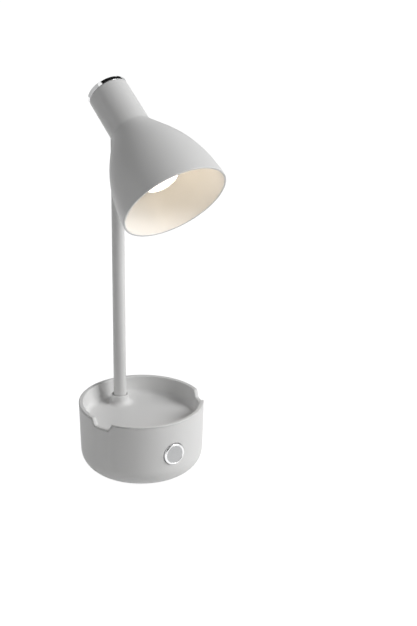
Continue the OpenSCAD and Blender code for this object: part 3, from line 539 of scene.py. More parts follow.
class LAMP_OT_base_shell(bpy.types.Operator):
    """Builds the base's outer shell with its seam, button recess and inlet recess"""

    bl_idname = "lamp.base_shell"
    bl_label = "Base shell"

    def execute(self, context):
        form = BaseForm()
        s = form.s
        skin = Skin()
        edge = 0.25 * MM
        ease_r = 0.35 * MM
        seam = s.lip_t + s.seam_t
        recess_r, recess_y = BUTTON_R + 0.85 * MM, RIM_R - 2.4 * MM
        bore_r, ledge_y = BUTTON_R + 0.4 * MM, RIM_R - 6.2 * MM
        sleeve_r, sleeve_y = BUTTON_R + 2.45 * MM, RIM_R - 15.5 * MM
        inlet_r, inlet_y = INLET_HIGH[0] + 0.3 * MM, RIM_R - 3.1 * MM
        barrel_r, boss_y = 4.15 * MM, RIM_R - 6.4 * MM
        boss_r = inlet_r + 1.6 * MM

        def seam_z(turn):
            return form.edge_z(form.spot(turn, RIM_R, 0)[1], seam) - edge

        def lip_z(turn):
            return form.edge_z(form.spot(turn, RIM_R, 0)[1], s.lip_t)

        turns = form.turns
        span = 13.2 * MM
        flat_top = BUTTON_Z + span + 1.6 * MM
        rows = [lambda k, t=t: seam_z(turns[k]) * (1 - t) + flat_top * t for t in np.linspace(0, 1, 13)]
        button_first = len(rows)
        levels = list(np.linspace(BUTTON_Z + span, BUTTON_Z - span, 19))
        levels += [s.foot_top - s.foot_round * math.sin(a) for a in np.radians(np.linspace(0, 90, 27))]
        rows += [lambda k, z=z: z for z in levels]
        inlet_rows = [button_first + i for i, z in enumerate(levels)
                      if abs(z - INLET_Z) < inlet_r + 2.2 * MM]
        holes = [
            round_hole(form, -1, BUTTON_Z, recess_r + ease_r, form.wall_r,
                       (button_first, button_first + 18), 9),
            round_hole(form, 1, INLET_Z, inlet_r + ease_r, form.wall_r,
                       (inlet_rows[0], inlet_rows[-1]), 6),
        ]
        top, bottom, rims = holed_grid(
            skin, turns, rows, lambda turn, z: form.spot(turn, form.wall_r(z), z), holes)

        in_top = RIM_Z - 16.6 * MM
        in_rows = [lambda k, t=t: lip_z(turns[k]) * (1 - t) + in_top * t for t in np.linspace(0, 1, 9)]
        first = len(in_rows)
        in_levels = list(np.linspace(BUTTON_Z + 15.6 * MM, BUTTON_Z - 15.6 * MM, 17))
        in_levels += list(np.linspace(18.4 * MM, s.flange_low + 2 * MM, 9))
        in_rows += [lambda k, z=z: z for z in in_levels]
        boss_rows = [first + i for i, z in enumerate(in_levels) if abs(z - INLET_Z) < boss_r + 2 * MM]
        in_holes = [
            round_hole(form, -1, BUTTON_Z, sleeve_r, form.inner_r, (first, first + 16), 11),
            round_hole(form, 1, INLET_Z, boss_r, form.inner_r, (boss_rows[0], boss_rows[-1]), 8),
        ]
        in_top_ring, in_bottom, in_rims = holed_grid(
            skin, turns, in_rows, lambda turn, z: form.spot(turn, form.inner_r(z), z), in_holes)

        # Top edge, seam step and the face under the lip
        last = top
        for k in range(1, 5):
            t = math.pi / 2 * k / 4
            inset = form.below_wall(edge * (1 - math.cos(t)))
            last = skin.grow(last, form.edge_ring(inset, seam, edge * (1 - math.sin(t))))
        for depth in (seam, s.lip_t):
            last = skin.grow(last, form.edge_ring(form.below_wall(s.seam_depth), depth))
        skin.bridge(last, in_top_ring)

        # Underside and flange
        seat_r = form.foot_flat - 0.8 * MM
        low_z = s.foot_top - s.foot_round
        last = bottom
        for r, z in ((seat_r, low_z), (seat_r, s.flange_low), (s.flange_in, s.flange_low),
                     (s.flange_in, s.flange_low + 2 * MM)):
            last = skin.grow(last, form.level_ring(r, z))
        skin.bridge(last, in_bottom)

        def line_hole(which, middle_z, side, radius, floor_y, steps, end):
            """Lines a hole from its softened mouth to the end of its sleeve or boss inside."""
            last, ways = rims[which]
            mouth = eased_mouth(ways, middle_z, side, radius, ease_r, form.wall_r, floor_y)
            for ring in mouth + bore_rings(ways, middle_z, steps):
                last = skin.grow(last, ring)
            in_rim, in_ways = in_rims[which]
            inner = skin.ring(bore_rings(in_ways, middle_z, [end])[0])
            stitch(skin, last, ways, inner, in_ways)
            skin.bridge(inner, in_rim)

        # Button recess, bore and sleeve, then the inlet's recess, bore and boss
        soft = 0.15 * MM
        steps = [(recess_r, -recess_y), (bore_r + soft, -recess_y),
                 (bore_r + soft * 0.3, -recess_y + soft * 0.3), (bore_r, -recess_y + soft),
                 (bore_r, -ledge_y), (bore_r + 0.85 * MM, -ledge_y), (bore_r + 0.85 * MM, -sleeve_y)]
        line_hole(0, BUTTON_Z, -1, recess_r, recess_y, steps, (sleeve_r, -sleeve_y))
        steps = [(inlet_r, inlet_y), (barrel_r, inlet_y), (barrel_r, boss_y)]
        line_hole(1, INLET_Z, 1, inlet_r, inlet_y, steps, (boss_r, boss_y))

        make_object("base_wall", skin, material_for("white_shell"), "base",
                    ["base_shell"])
        return {"FINISHED"}


class LAMP_OT_tray(bpy.types.Operator):
    """Builds the tray: its lip, its notches, its rounded floor and the collar round the stem"""

    bl_idname = "lamp.tray"
    bl_label = "Tray"

    def execute(self, context):
        form = BaseForm()
        s = form.s
        skin = Skin()
        seat = s.shell_t + 0.3 * MM
        soft = 0.15 * MM
        rings = []

        # Up the outside, round the lip and down the inside wall
        rings.append(form.level_ring(form.wall_r(form.under_z) - seat, form.under_z))
        for t in np.linspace(0, 1, 9)[1:]:
            high = form.edge_ring(form.below_wall(seat), s.lip_t)
            rings.append([(x, y, form.under_z + (z - form.under_z) * t) for x, y, z in high])
        lip = arc((soft, -s.lip_t + soft), soft, 270, 180, 3)
        lip += arc((s.lip_round, -s.lip_round), s.lip_round, 180, 90, 8)
        for inset, z in lip:
            rings.append(form.edge_ring(form.below_wall(inset), -z))
        rings.append(form.edge_ring(form.below_wall(s.rim_w / 2), 0))
        for r, z in arc((form.tray_in + s.lip_round, -s.lip_round), s.lip_round, 90, 180, 8):
            rings.append(form.edge_ring(lambda level, r=r: r, -z))
        foot_z = form.floor_z + s.tray_round
        for t in np.linspace(0, 1, 11)[1:]:
            r = form.tray_in + (form.tray_floor - form.tray_in) * t
            high = form.edge_ring(lambda level, r=r: r, s.lip_round)
            rings.append([(x, y, z + (foot_z - z) * t) for x, y, z in high])

        # Across the floor to the collar; the wall's round and the collar's flare add up
        foot = np.array(rings[-1])
        stem = np.array([0, STEM_Y])
        ways = foot[:, :2] - stem
        reach = np.linalg.norm(ways, axis=1)
        ways = ways / reach[:, None]
        for t in np.linspace(0, 1, 56)[1:]:
            share = (1 - math.cos(math.pi * t)) / 2
            ring = []
            for way, far in zip(ways, reach):
                d = far + (s.collar_r - far) * share
                x, y = stem + way * d
                wall = max(0.0, math.hypot(x, y) - (form.tray_floor - s.tray_round))
                flare = max(0.0, s.collar_r + s.collar_flare - d)
                lift = s.tray_round - math.sqrt(max(0.0, s.tray_round ** 2 - wall ** 2))
                lift += s.collar_flare - math.sqrt(max(0.0, s.collar_flare ** 2 - flare ** 2))
                ring.append((x, y, form.floor_z + lift))
            rings.append(ring)

        # Up the collar, into the gap round the stem, and down to the ledge under the floor
        def collar(r, z):
            rings.append([(way[0] * r, STEM_Y + way[1] * r, form.floor_z + z) for way in ways])

        edge, fine = 0.8 * MM, 0.2 * MM
        gap_r = STEM_R + s.collar_gap
        grip_r = STEM_R + 0.1 * MM
        ledge = -s.tray_t - 2.4 * MM
        boss_r = STEM_R + 5.9 * MM
        for t in np.linspace(0, 1, 4)[1:]:
            collar(s.collar_r, s.collar_flare + (s.collar_h - edge - s.collar_flare) * t)
        for r, z in arc((s.collar_r - edge, s.collar_h - edge), edge, 0, 90, 6)[1:]:
            collar(r, z)
        for r, z in arc((gap_r + fine, s.collar_h - fine), fine, 90, 180, 3):
            collar(r, z)
        for r, z in ((gap_r, s.collar_h - 2 * MM), (grip_r, s.collar_h - 2 * MM), (grip_r, ledge),
                     (boss_r, ledge), (boss_r, -s.tray_t)):
            collar(r, z)
        first = skin.ring(rings[0])
        last = first
        for row in rings[1:]:
            last = skin.grow(last, row)
        skin.bridge(last, first)
        make_object("tray_body", skin, material_for("white_tray"), "base", ["tray"])
        return {"FINISHED"}


class LAMP_OT_foot(bpy.types.Operator):
    """Builds the soft pad that the base stands on"""

    bl_idname = "lamp.foot"
    bl_label = "Foot pad"

    def execute(self, context):
        r, low, high = PAD_HIGH[0], PAD_LOW[2], PAD_HIGH[2]
        groove = 0.25 * MM
        profile = [(0, high)] + arc((r - 0.2 * MM, high - 0.2 * MM), 0.2 * MM, 90, 0, 3)
        profile += arc((r - 0.5 * MM, low + 0.5 * MM), 0.5 * MM, 0, -90, 5)
        for ring_r in np.arange(r - 4 * MM, 6 * MM, -4 * MM):
            profile += [(ring_r + 0.5 * MM, low), (ring_r + 0.25 * MM, low + groove),
                        (ring_r - 0.25 * MM, low + groove), (ring_r - 0.5 * MM, low)]
        profile.append((0, low))
        make_object("pad_sheet", lathe(profile, closed=False), material_for("pad_rubber"), "base",
                    ["foot_pad"], crease=50)
        return {"FINISHED"}


# ---- Stem ----

class LAMP_OT_stem(bpy.types.Operator):
    """Builds the stem tube"""

    bl_idname = "lamp.stem"
    bl_label = "Stem"

    def execute(self, context):
        low, high = STEM_LOW[2], STEM_HIGH[2]
        inside = STEM_R - 1.1 * MM
        corners = [(STEM_R, low), (STEM_R, high), (inside, high), (inside, low)]
        soft = 0.25 * MM
        profile = rounded(corners, [soft] * 4, 3)
        place = Matrix.Translation((0, STEM_Y, 0))
        make_object("stem_pole", lathe(profile), material_for("white_tube"), "base",
                    ["stem_tube"], place)
        return {"FINISHED"}


# ---- Shade ----

class ShadeForm:
    """The shade's outline about its own axis: z runs from the neck's end to the mouth."""

    def __init__(self):
        s = self.s = shade_sizes()
        self.place = (Matrix.Translation(Vector(PIVOT)) @ Matrix.Rotation(math.pi / 2 + s.tilt, 4, "X")
                      @ Matrix.Translation((0, 0, -s.neck_back)))
        p0 = np.array([s.neck_r + s.neck_flare, s.neck_len])
        p1 = p0 + s.start_pull * np.array([math.sin(s.start_slope), math.cos(s.start_slope)])
        p3 = np.array([s.mouth_r, s.shade_len])
        p2 = p3 - s.end_pull * np.array([math.sin(s.end_slope), math.cos(s.end_slope)])
        t = np.linspace(0, 1, 400)[:, None]
        bell = (1 - t) ** 3 * p0 + 3 * (1 - t) ** 2 * t * p1 + 3 * (1 - t) * t * t * p2 + t ** 3 * p3
        beyond = p3 + 10 * MM * np.array([math.sin(s.end_slope), math.cos(s.end_slope)])
        start = np.array([s.neck_r, s.cap_len])
        line = np.vstack([[start], bell, [beyond]])
        # The crease between neck and bell is softened by averaging over a short length
        self.z = np.linspace(s.cap_len, s.shade_len + 6 * MM, 3001)
        r = np.interp(self.z, line[:, 1], line[:, 0])
        half = int(CREASE_SOFT / (self.z[1] - self.z[0]))
        wide = np.concatenate([np.full(half, r[0]), r, np.full(half, r[-1])])
        soft = np.convolve(wide, np.ones(2 * half + 1) / (2 * half + 1), "valid")
        near = np.abs(self.z - s.neck_len) < 3 * CREASE_SOFT
        self.r = np.where(near, soft, r)
        self.slope = np.gradient(self.r, self.z)

    def outer(self, z):
        return float(np.interp(z, self.z, self.r))

    def inner(self, z):
        lean = math.sqrt(1 + float(np.interp(z, self.z, self.slope)) ** 2)
        return self.outer(z) - self.s.shade_t * lean

    def mouth_z(self, turn):
        """Length of the shade at an angle round the axis; the mouth is slanted."""
        s = self.s
        rise = math.sin(turn) * math.tan(s.mouth_slant)
        return s.shade_len + s.mouth_r * rise / (1 - rise * math.tan(s.end_slope))


def slot_patch(form, surface, rows, columns, half_width, back, front, steps=4):
    """The patch round the long slot under the neck, where the stem comes through."""
    middle = (back + front) / 2
    straight = (front - back) / 2 - half_width
    reference = form.s.neck_r

    def way(turn, z):
        return math.atan2(z - middle, reference * math.cos(turn))

    def edge(way_round):
        c, n = math.cos(way_round), abs(math.sin(way_round))
        reach = half_width / max(abs(c), 1e-9)
        if reach * n > straight:
            reach = straight * n + math.sqrt(max(0.0, half_width ** 2 - (straight * c) ** 2))
        x, z = reach * c, middle + math.copysign(reach * n, math.sin(way_round))
        return math.atan2(-math.sqrt(surface(z) ** 2 - x * x), x), z

    return {"rows": rows, "columns": columns, "steps": steps, "way": way, "edge": edge}


class LAMP_OT_shade(bpy.types.Operator):
    """Builds the bell shade with its neck, its slanted mouth and the slot for the stem"""

    bl_idname = "lamp.shade"
    bl_label = "Shade"

    def execute(self, context):
        form = ShadeForm()
        s = form.s
        skin = Skin()
        turns = np.linspace(-math.pi / 2, 1.5 * math.pi, SHADE_SIDES, endpoint=False)
        start = s.cap_len + s.cap_seam
        soft, lip = 0.25 * MM, 0.6 * MM
        half_width = STEM_R + 0.6 * MM
        tilt_up = next(j["range_deg"][0] for j in frame["joints"] if j["name"] == "shade_tilt")
        up_lean = s.tilt + math.radians(tilt_up)
        inner_r = s.neck_r - s.shade_t
        back = s.neck_back + inner_r * math.tan(up_lean) - half_width / math.cos(up_lean)
        front = s.neck_len - 1.5 * MM
        slot_rows = list(np.linspace(back - 1.6 * MM, s.neck_len - 0.6 * MM, 24))

        def shifted(z0, turn, end_gap):
            """Height that spreads the mouth's slant over the bell."""
            share = max(0.0, (z0 - s.neck_len - 8 * MM) / (s.shade_len - s.neck_len - 8 * MM))
            return z0 + (form.mouth_z(turn) - end_gap - s.shade_len) * share

        neck = list(np.linspace(start + soft, slot_rows[0], 6))[:-1]
        crease = list(np.linspace(s.neck_len - 0.6 * MM, s.neck_len + 4 * MM, 14))[1:]
        bell = list(np.linspace(s.neck_len + 4 * MM, s.shade_len, 60))[1:]
        heights = neck + slot_rows + crease + bell
        rows = [lambda k, z=z: shifted(z, turns[k], lip) for z in heights]
        patch = (len(neck), len(neck) + len(slot_rows) - 1)
        columns = (-11, 11)
        outer_hole = slot_patch(form, form.outer, patch, columns, half_width + soft, back - soft,
                                front + soft)
        inner_hole = slot_patch(form, form.inner, patch, columns, half_width, back, front)
        out_start, out_end, out_rims = holed_grid(
            skin, turns, rows, lambda t, z: (form.outer(z) * math.cos(t), form.outer(z) * math.sin(t), z),
            [outer_hole])
        in_start, in_end, in_rims = holed_grid(
            skin, turns, rows, lambda t, z: (form.inner(z) * math.cos(t), form.inner(z) * math.sin(t), z),
            [inner_hole])

        # The neck's end
        rim_r = form.outer(start)
        last = out_start
        for r, z in arc((rim_r - soft, start + soft), soft, 0, -90, 3)[1:]:
            last = skin.grow(last, [(r * math.cos(t), r * math.sin(t), z) for t in turns])
        last = skin.grow(last, [(inner_r * math.cos(t), inner_r * math.sin(t), start) for t in turns])
        skin.bridge(last, in_start)

        # The mouth's rounded lip
        last = out_end
        steps = 6
        width = form.outer(s.shade_len) - form.inner(s.shade_len)
        for k in range(1, 2 * steps + 1):
            turn = math.pi * k / (2 * steps)
            ring = []
            for t in turns:
                end = form.mouth_z(t)
                if k <= steps:
                    inset = lip * (1 - math.cos(turn))
                else:
                    inset = width - lip * (1 + math.cos(turn))
                z = end - lip * (1 - math.sin(turn))
                r = form.outer(z) - inset
                ring.append((r * math.cos(t), r * math.sin(t), z))
            last = skin.grow(last, ring)
        skin.bridge(last, in_end)

        # The slot's wall, with a softened outer edge
        rim, ways = out_rims[0]
        middle = slot_patch(form, form.outer, patch, columns, half_width, back, front)
        deep = []
        for way in ways:
            turn, z = middle["edge"](way)
            r = form.outer(z) - soft
            x = form.outer(z) * math.cos(turn)
            deep.append((x, -math.sqrt(r * r - x * x), z))
        shoulder = skin.ring(deep)
        skin.bridge(rim, shoulder)
        skin.bridge(shoulder, in_rims[0][0])
        make_object("bell_shade", skin, material_for("white_tube"), "shade",
                    ["shade_shell"], form.place)
        return {"FINISHED"}


class LAMP_OT_end_cap(bpy.types.Operator):
    """Builds the plated cap that closes the neck"""

    bl_idname = "lamp.end_cap"
    bl_label = "End cap"

    def execute(self, context):
        form = ShadeForm()
        s = form.s
        edge, fine = 1.2 * MM, 0.2 * MM
        plug_r = s.neck_r - s.shade_t - 0.1 * MM
        profile = [(0, 0.35 * MM), (4 * MM, 0.34 * MM), (8 * MM, 0.28 * MM), (12 * MM, 0.18 * MM),
                   (15 * MM, 0.07 * MM), (s.neck_r - edge - 0.8 * MM, 0.0)]
        profile += arc((s.neck_r - edge, edge), edge, -90, 0, 10)
        profile += arc((s.neck_r - fine, s.cap_len - fine), fine, 0, 90, 4)
        plug_end = s.cap_len + 4.4 * MM
        profile += [(plug_r, s.cap_len), (plug_r, plug_end), (plug_r - 1 * MM, plug_end),
                    (plug_r - 1 * MM, 1.6 * MM), (0, 1.6 * MM)]
        make_object("cap_cup", lathe(profile, closed=False), material_for("chrome"), "shade",
                    ["end_cap"], form.place, crease=50)
        return {"FINISHED"}


class LAMP_OT_light(bpy.types.Operator):
    """Builds the pot inside the bell and the lit diffuser in its mouth"""

    bl_idname = "lamp.light"
    bl_label = "Light"

    def execute(self, context):
        form = ShadeForm()
        s = form.s
        end = s.shade_len - s.diffuser_inset
        inside = s.pot_r - s.pot_t
        step, edge, fine = 1.6 * MM, 0.5 * MM, 0.3 * MM
        flange_r, flange_top = s.pot_r + 6 * MM, s.pot_seat + 2.2 * MM
        seat = end - 9.5 * MM - 4 * MM
        profile = [(inside - step, flange_top), (inside - step, seat), (inside, seat),
                   (inside, end - fine)]
        profile += arc((inside + fine, end - fine), fine, 180, 90, 3)
        profile += arc((s.pot_r - edge, end - edge), edge, 90, 0, 5)
        profile += arc((s.pot_r + 1.5 * MM, flange_top + 1.5 * MM), 1.5 * MM, 180, 270, 5)
        profile += arc((flange_r - edge, flange_top - edge), edge, 90, 0, 4)
        profile += [(flange_r, s.pot_seat), (2 * MM, s.pot_seat), (2 * MM, flange_top)]
        pot = make_object("light_pot", lathe(profile), material_for("white_tube"), "shade",
                          ["led_housing"], form.place)

        disc_r = inside - 0.1 * MM
        dome = 0.5 * MM
        sag = (disc_r ** 2 + dome ** 2) / (2 * dome)
        profile = []
        for r in np.linspace(0, disc_r - 0.4 * MM, 12):
            bulge = math.sqrt(sag ** 2 - r * r) - sag
            profile.append((float(r), end - 0.35 * MM + float(bulge)))
        profile += [(disc_r - 0.1 * MM, end - dome - 0.5 * MM), (disc_r, end - dome - 0.7 * MM),
                    (disc_r, end - 1.8 * MM), (disc_r, end - 8 * MM), (disc_r - 1 * MM, end - 8 * MM),
                    (disc_r - 1 * MM, end - 1.8 * MM), (0, end - 1.8 * MM)]
        face = make_object("light_face", lathe(profile, closed=False), material_for("opal"), "shade",
                           ["diffuser"], form.place)

        # The glow behind the face lights the bell all round it
        pot.visible_shadow = False
        face.visible_shadow = False
        data = bpy.data.lights.new("shade_glow", "POINT")
        data.color = GLOW_TINT
        data.energy = GLOW_ENERGY
        data.shadow_soft_size = GLOW_SIZE
        glow = bpy.data.objects.new("shade_glow", data)
        bpy.context.scene.collection.objects.link(glow)
        glow.matrix_world = form.place @ Matrix.Translation((GLOW_SIDE, 0, end + GLOW_AHEAD))
        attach(glow, "shade")
        return {"FINISHED"}


# ---- Button ----

class LAMP_OT_button(bpy.types.Operator):
    """Builds the plated push button: a bevelled ring round a slightly domed face"""

    bl_idname = "lamp.button"
    bl_label = "Button"

    def execute(self, context):
        r, wall = BUTTON_R, 1.1 * MM
        bevel, face = 1.6 * MM, 0.7 * MM
        dome = 0.25 * MM
        depth = RIM_R + BUTTON_LOW[1]
        back = RIM_R + BUTTON_HIGH[1]
        flat = r - bevel
        profile = []
        for step in np.linspace(0, 1, 9):
            ring_r = (flat - 0.5 * MM) * float(step)
            profile.append((ring_r, depth + 0.3 * MM + dome * (float(step) ** 2 - 1)))
        profile += [(flat - 0.3 * MM, depth + 0.34 * MM), (flat - 0.15 * MM, depth + 0.1 * MM)]
        profile += arc((flat, depth + bevel), bevel, -90, 0, 12)
        profile += [(r, back), (r - wall, back), (r - wall, depth + face + wall),
                    (0, depth + face + wall)]
        place = Matrix.Translation((0, -RIM_R, BUTTON_Z)) @ Matrix.Rotation(-math.pi / 2, 4, "X")
        button = make_object("button_disc", lathe(profile, closed=False, sides=96),
                             material_for("button_ring"), "button", ["button_cap"], place)
        # The face's material is partly its satin metal and partly painted shade that dims its reflection
        button.data.materials.append(material_for("button_face"))
        for polygon in button.data.polygons:
            out = math.hypot(polygon.center.x, polygon.center.z - BUTTON_Z)
            if out < flat - 0.5 * MM and polygon.center.y < BUTTON_LOW[1] + 1 * MM:
                polygon.material_index = 1
        return {"FINISHED"}


# ---- Materials ----

def new_material(name, base, roughness, metallic=0.0):
    """A material with its plain values set on the shader."""
    material = bpy.data.materials.new(name)
    material.use_nodes = True
    shader = material.node_tree.nodes["Principled BSDF"]
    shader.inputs["Base Color"].default_value = (*base, 1)
    shader.inputs["Roughness"].default_value = roughness
    shader.inputs["Metallic"].default_value = metallic
    return material


def add_node(material, kind, **values):
    node = material.node_tree.nodes.new(kind)
    for key, value in values.items():
        if key in node.inputs:
            node.inputs[key].default_value = value
        else:
            setattr(node, key, value)
    return node


def grain(material, size, detail=3.0, stretch=(1, 1, 1)):
    """A noise whose grains have a real size, in the piece's own place."""
    tree = material.node_tree
    place = add_node(material, "ShaderNodeTexCoord")
    mapping = add_node(material, "ShaderNodeMapping")
    mapping.inputs["Scale"].default_value = stretch
    noise = add_node(material, "ShaderNodeTexNoise", Scale=1 / size, Detail=detail)
    tree.links.new(place.outputs["Object"], mapping.inputs["Vector"])
    tree.links.new(mapping.outputs["Vector"], noise.inputs["Vector"])
    return noise.outputs["Fac"]


def rough_range(material, value, low, high):
    """Lets a noise move the roughness between two values."""
    tree = material.node_tree
    spread = add_node(material, "ShaderNodeMapRange")
    spread.inputs["From Min"].default_value = 0.3
    spread.inputs["From Max"].default_value = 0.7
    spread.inputs["To Min"].default_value = low
    spread.inputs["To Max"].default_value = high
    tree.links.new(value, spread.inputs["Value"])
    tree.links.new(spread.outputs["Result"], tree.nodes["Principled BSDF"].inputs["Roughness"])


def relief(material, value, depth):
    """Lets a noise raise the surface by a real depth."""
    tree = material.node_tree
    bump = add_node(material, "ShaderNodeBump", Strength=1.0, Distance=depth)
    tree.links.new(value, bump.inputs["Height"])
    tree.links.new(bump.outputs["Normal"], tree.nodes["Principled BSDF"].inputs["Normal"])


def tinted(material, value, dark, light):
    """Lets a noise move the colour between two tones."""
    tree = material.node_tree
    ramp = add_node(material, "ShaderNodeValToRGB")
    ramp.color_ramp.elements[0].position = 0.35
    ramp.color_ramp.elements[0].color = (*dark, 1)
    ramp.color_ramp.elements[1].position = 0.65
    ramp.color_ramp.elements[1].color = (*light, 1)
    tree.links.new(value, ramp.inputs["Fac"])
    tree.links.new(ramp.outputs["Color"], tree.nodes["Principled BSDF"].inputs["Base Color"])


def kept(name, make):
    """Makes a material once and gives the same one after that."""
    return bpy.data.materials.get(name) or make(name)


# Each plain finish: its material's name, colour, roughness from and to, grain and depth of
# relief in millimetres, and how metallic it is
PLAIN_FINISHES = {
    "white_shell": ("moulded_white", "white", 0.44, 0.52, 0.5, 0.004, 0.0),
    "white_tray": ("moulded_white_tray", "white", 0.48, 0.56, 0.5, 0.004, 0.0),
    "white_tube": ("satin_white", "white", 0.38, 0.46, 1.2, 0.003, 0.0),
    "white_pot": ("satin_white", "white", 0.38, 0.46, 1.2, 0.003, 0.0),
    "chrome": ("bright_plate", "chrome", 0.05, 0.09, 3, 0, 1.0),
    "button_ring": ("bright_ring", "chrome", 0.09, 0.14, 2, 0, 1.0),
    # The button face's grey is partly its satin metal and partly painted shade: its tone is set low to dim its
    # reflection of the white floor
    "button_face": ("satin_face", (0.45, 0.455, 0.46), 0.26, 0.32, 0.4, 0.003, 1.0),
    "pad_rubber": ("grey_rubber", (0.30, 0.30, 0.31), 0.78, 0.9, 0.6, 0.03, 0.0),
    "dark_cover": ("dark_cover", (0.045, 0.045, 0.05), 0.5, 0.62, 0.5, 0.01, 0.0),
    "zinc_steel": ("zinc_steel", (0.62, 0.63, 0.66), 0.2, 0.34, 0.8, 0.004, 1.0),
    "hinge_alloy": ("cast_alloy", (0.58, 0.58, 0.585), 0.36, 0.5, 0.5, 0.012, 1.0),
    "grey_nylon": ("grey_nylon", (0.36, 0.36, 0.37), 0.42, 0.54, 0.8, 0.006, 0.0),
    "black_plastic": ("black_plastic", (0.022, 0.022, 0.024), 0.34, 0.46, 0.5, 0.006, 0.0),
    "contact_brass": ("plated_brass", (0.80, 0.62, 0.30), 0.18, 0.3, 0.6, 0.003, 1.0),
    "ferrite": ("ferrite", (0.05, 0.048, 0.047), 0.6, 0.78, 0.4, 0.012, 0.0),
    "can_sleeve": ("can_sleeve", (0.025, 0.03, 0.05), 0.28, 0.38, 1.5, 0.004, 0.0),
    "chip_phosphor": ("phosphor", (0.85, 0.62, 0.10), 0.5, 0.62, 0.3, 0.004, 0.0),
    "sink_alloy": ("sink_alloy", (0.70, 0.70, 0.71), 0.3, 0.46, 0.7, 0.008, 1.0),
    "lead_sheath": ("lead_sheath", (0.58, 0.58, 0.57), 0.46, 0.6, 0.9, 0.005, 0.0),
}


def plain(slot):
    """A slot's plain material, with a fine grain in its roughness and its relief."""
    name, base, low, high, size, depth, metallic = PLAIN_FINISHES[slot]

    def make(title):
        tone = tuple(getattr(finish(), base)) if isinstance(base, str) else base
        material = new_material(title, tone, (low + high) / 2, metallic)
        noise = grain(material, size * MM)
        rough_range(material, noise, low, high)
        if depth:
            relief(material, noise, depth * MM)
        return material

    return kept(name, make)


def lit_opal(title):
    """The diffuser's face, lit from behind."""
    material = new_material(title, (0.86, 0.84, 0.80), 0.5)
    shader = material.node_tree.nodes["Principled BSDF"]
    shader.inputs["Emission Color"].default_value = (*finish().light, 1)
    shader.inputs["Emission Strength"].default_value = finish().light_strength
    rough_range(material, grain(material, 0.8 * MM), 0.42, 0.52)
    return material


def ballast_iron(title):
    """Raw iron plate with a mottled skin."""
    material = new_material(title, (0.16, 0.15, 0.145), 0.55, 0.85)
    noise = grain(material, 4 * MM, 6)
    tinted(material, noise, (0.10, 0.095, 0.09), (0.22, 0.21, 0.20))
    rough_range(material, noise, 0.42, 0.66)
    return material


def washer_fibre(title):
    """Pressed fibre with a fleck."""
    material = new_material(title, (0.22, 0.12, 0.07), 0.7)
    noise = grain(material, 0.5 * MM, 4, (1, 1, 4))
    tinted(material, noise, (0.16, 0.08, 0.045), (0.30, 0.17, 0.10))
    relief(material, noise, 0.02 * MM)
    return material


def laminate(title, dark, light):
    """A circuit board's coated laminate with a faint weave."""
    material = new_material(title, dark, 0.35)
    noise = grain(material, 0.9 * MM, 2, (1, 3, 1))
    tinted(material, noise, dark, light)
    relief(material, noise, 0.008 * MM)
    return material


def board_green(title):
    """The driver board's green laminate."""
    return laminate(title, (0.02, 0.14, 0.06), (0.03, 0.19, 0.08))


def board_white(title):
    """The light board's white laminate."""
    return laminate(title, (0.74, 0.74, 0.73), (0.80, 0.80, 0.79))


# Slots whose material is more than a plain finish: the material's name and its maker
MADE_FINISHES = {
    "opal": ("lit_opal", lit_opal),
    "ballast_iron": ("raw_iron", ballast_iron),
    "washer_fibre": ("pressed_fibre", washer_fibre),
    "board_green": ("green_laminate", board_green),
    "board_white": ("white_laminate", board_white),
}


def material_for(slot):
    """The material of a slot, made once."""
    if slot in MADE_FINISHES:
        return kept(*MADE_FINISHES[slot])
    return plain(slot)


class LAMP_OT_inner_pieces(bpy.types.Operator):
    """Gives the frame's own pieces their materials, such as the board, the hinge and the screws"""

    bl_idname = "lamp.inner_pieces"
    bl_label = "Inner pieces"

    def execute(self, context):
        for entry in frame["record"]["subparts"]:
            node = frame["nodes"][entry["node"]]
            node.data.materials.clear()
            node.data.materials.append(material_for(entry["material_slot"]))
        return {"FINISHED"}


# ---- Stage ----

def aim(thing, place, target):
    """Puts a camera, lamp or card at a place with its face towards a target."""
    ahead = (Vector(target) - Vector(place)).normalized()
    right = ahead.cross(Vector((0, 0, 1))).normalized()
    up = right.cross(ahead)
    turn = Matrix((right, up, -ahead)).transposed().to_4x4()
    thing.matrix_world = Matrix.Translation(Vector(place)) @ turn


def softbox(name, place, target, size, energy):
    """A square soft lamp."""
    data = bpy.data.lights.new(name, "AREA")
    data.shape = "SQUARE"
    data.size = size
    data.energy = energy
    lamp = bpy.data.objects.new(name, data)
    bpy.context.scene.collection.objects.link(lamp)
    aim(lamp, place, target)


def card(name, place, target, width, height, tone):
    """A black or grey card that only the bright metal sees."""
    mesh = bpy.data.meshes.new(name)
    w, h = width / 2, height / 2
    mesh.from_pydata([(-w, -h, 0), (w, -h, 0), (w, h, 0), (-w, h, 0)], [], [(0, 1, 2, 3)])
    material = new_material(name, (0, 0, 0), 1.0)
    shader = material.node_tree.nodes["Principled BSDF"]
    shader.inputs["Specular IOR Level"].default_value = 0
    shader.inputs["Emission Color"].default_value = (1, 1, 1, 1)
    shader.inputs["Emission Strength"].default_value = tone
    mesh.materials.append(material)
    piece = bpy.data.objects.new(name, mesh)
    bpy.context.scene.collection.objects.link(piece)
    aim(piece, place, target)
    piece.visible_camera = False
    piece.visible_diffuse = False
    piece.visible_shadow = False


def background_rays(tree):
    """One where a ray comes from the camera, a mirror or glass, and zero elsewhere."""
    rays = tree.nodes.new("ShaderNodeLightPath")
    first = tree.nodes.new("ShaderNodeMath")
    first.operation = "MAXIMUM"
    both = tree.nodes.new("ShaderNodeMath")
    both.operation = "MAXIMUM"
    tree.links.new(rays.outputs["Is Camera Ray"], first.inputs[0])
    tree.links.new(rays.outputs["Is Glossy Ray"], first.inputs[1])
    tree.links.new(first.outputs[0], both.inputs[0])
    tree.links.new(rays.outputs["Is Transmission Ray"], both.inputs[1])
    return both.outputs[0]


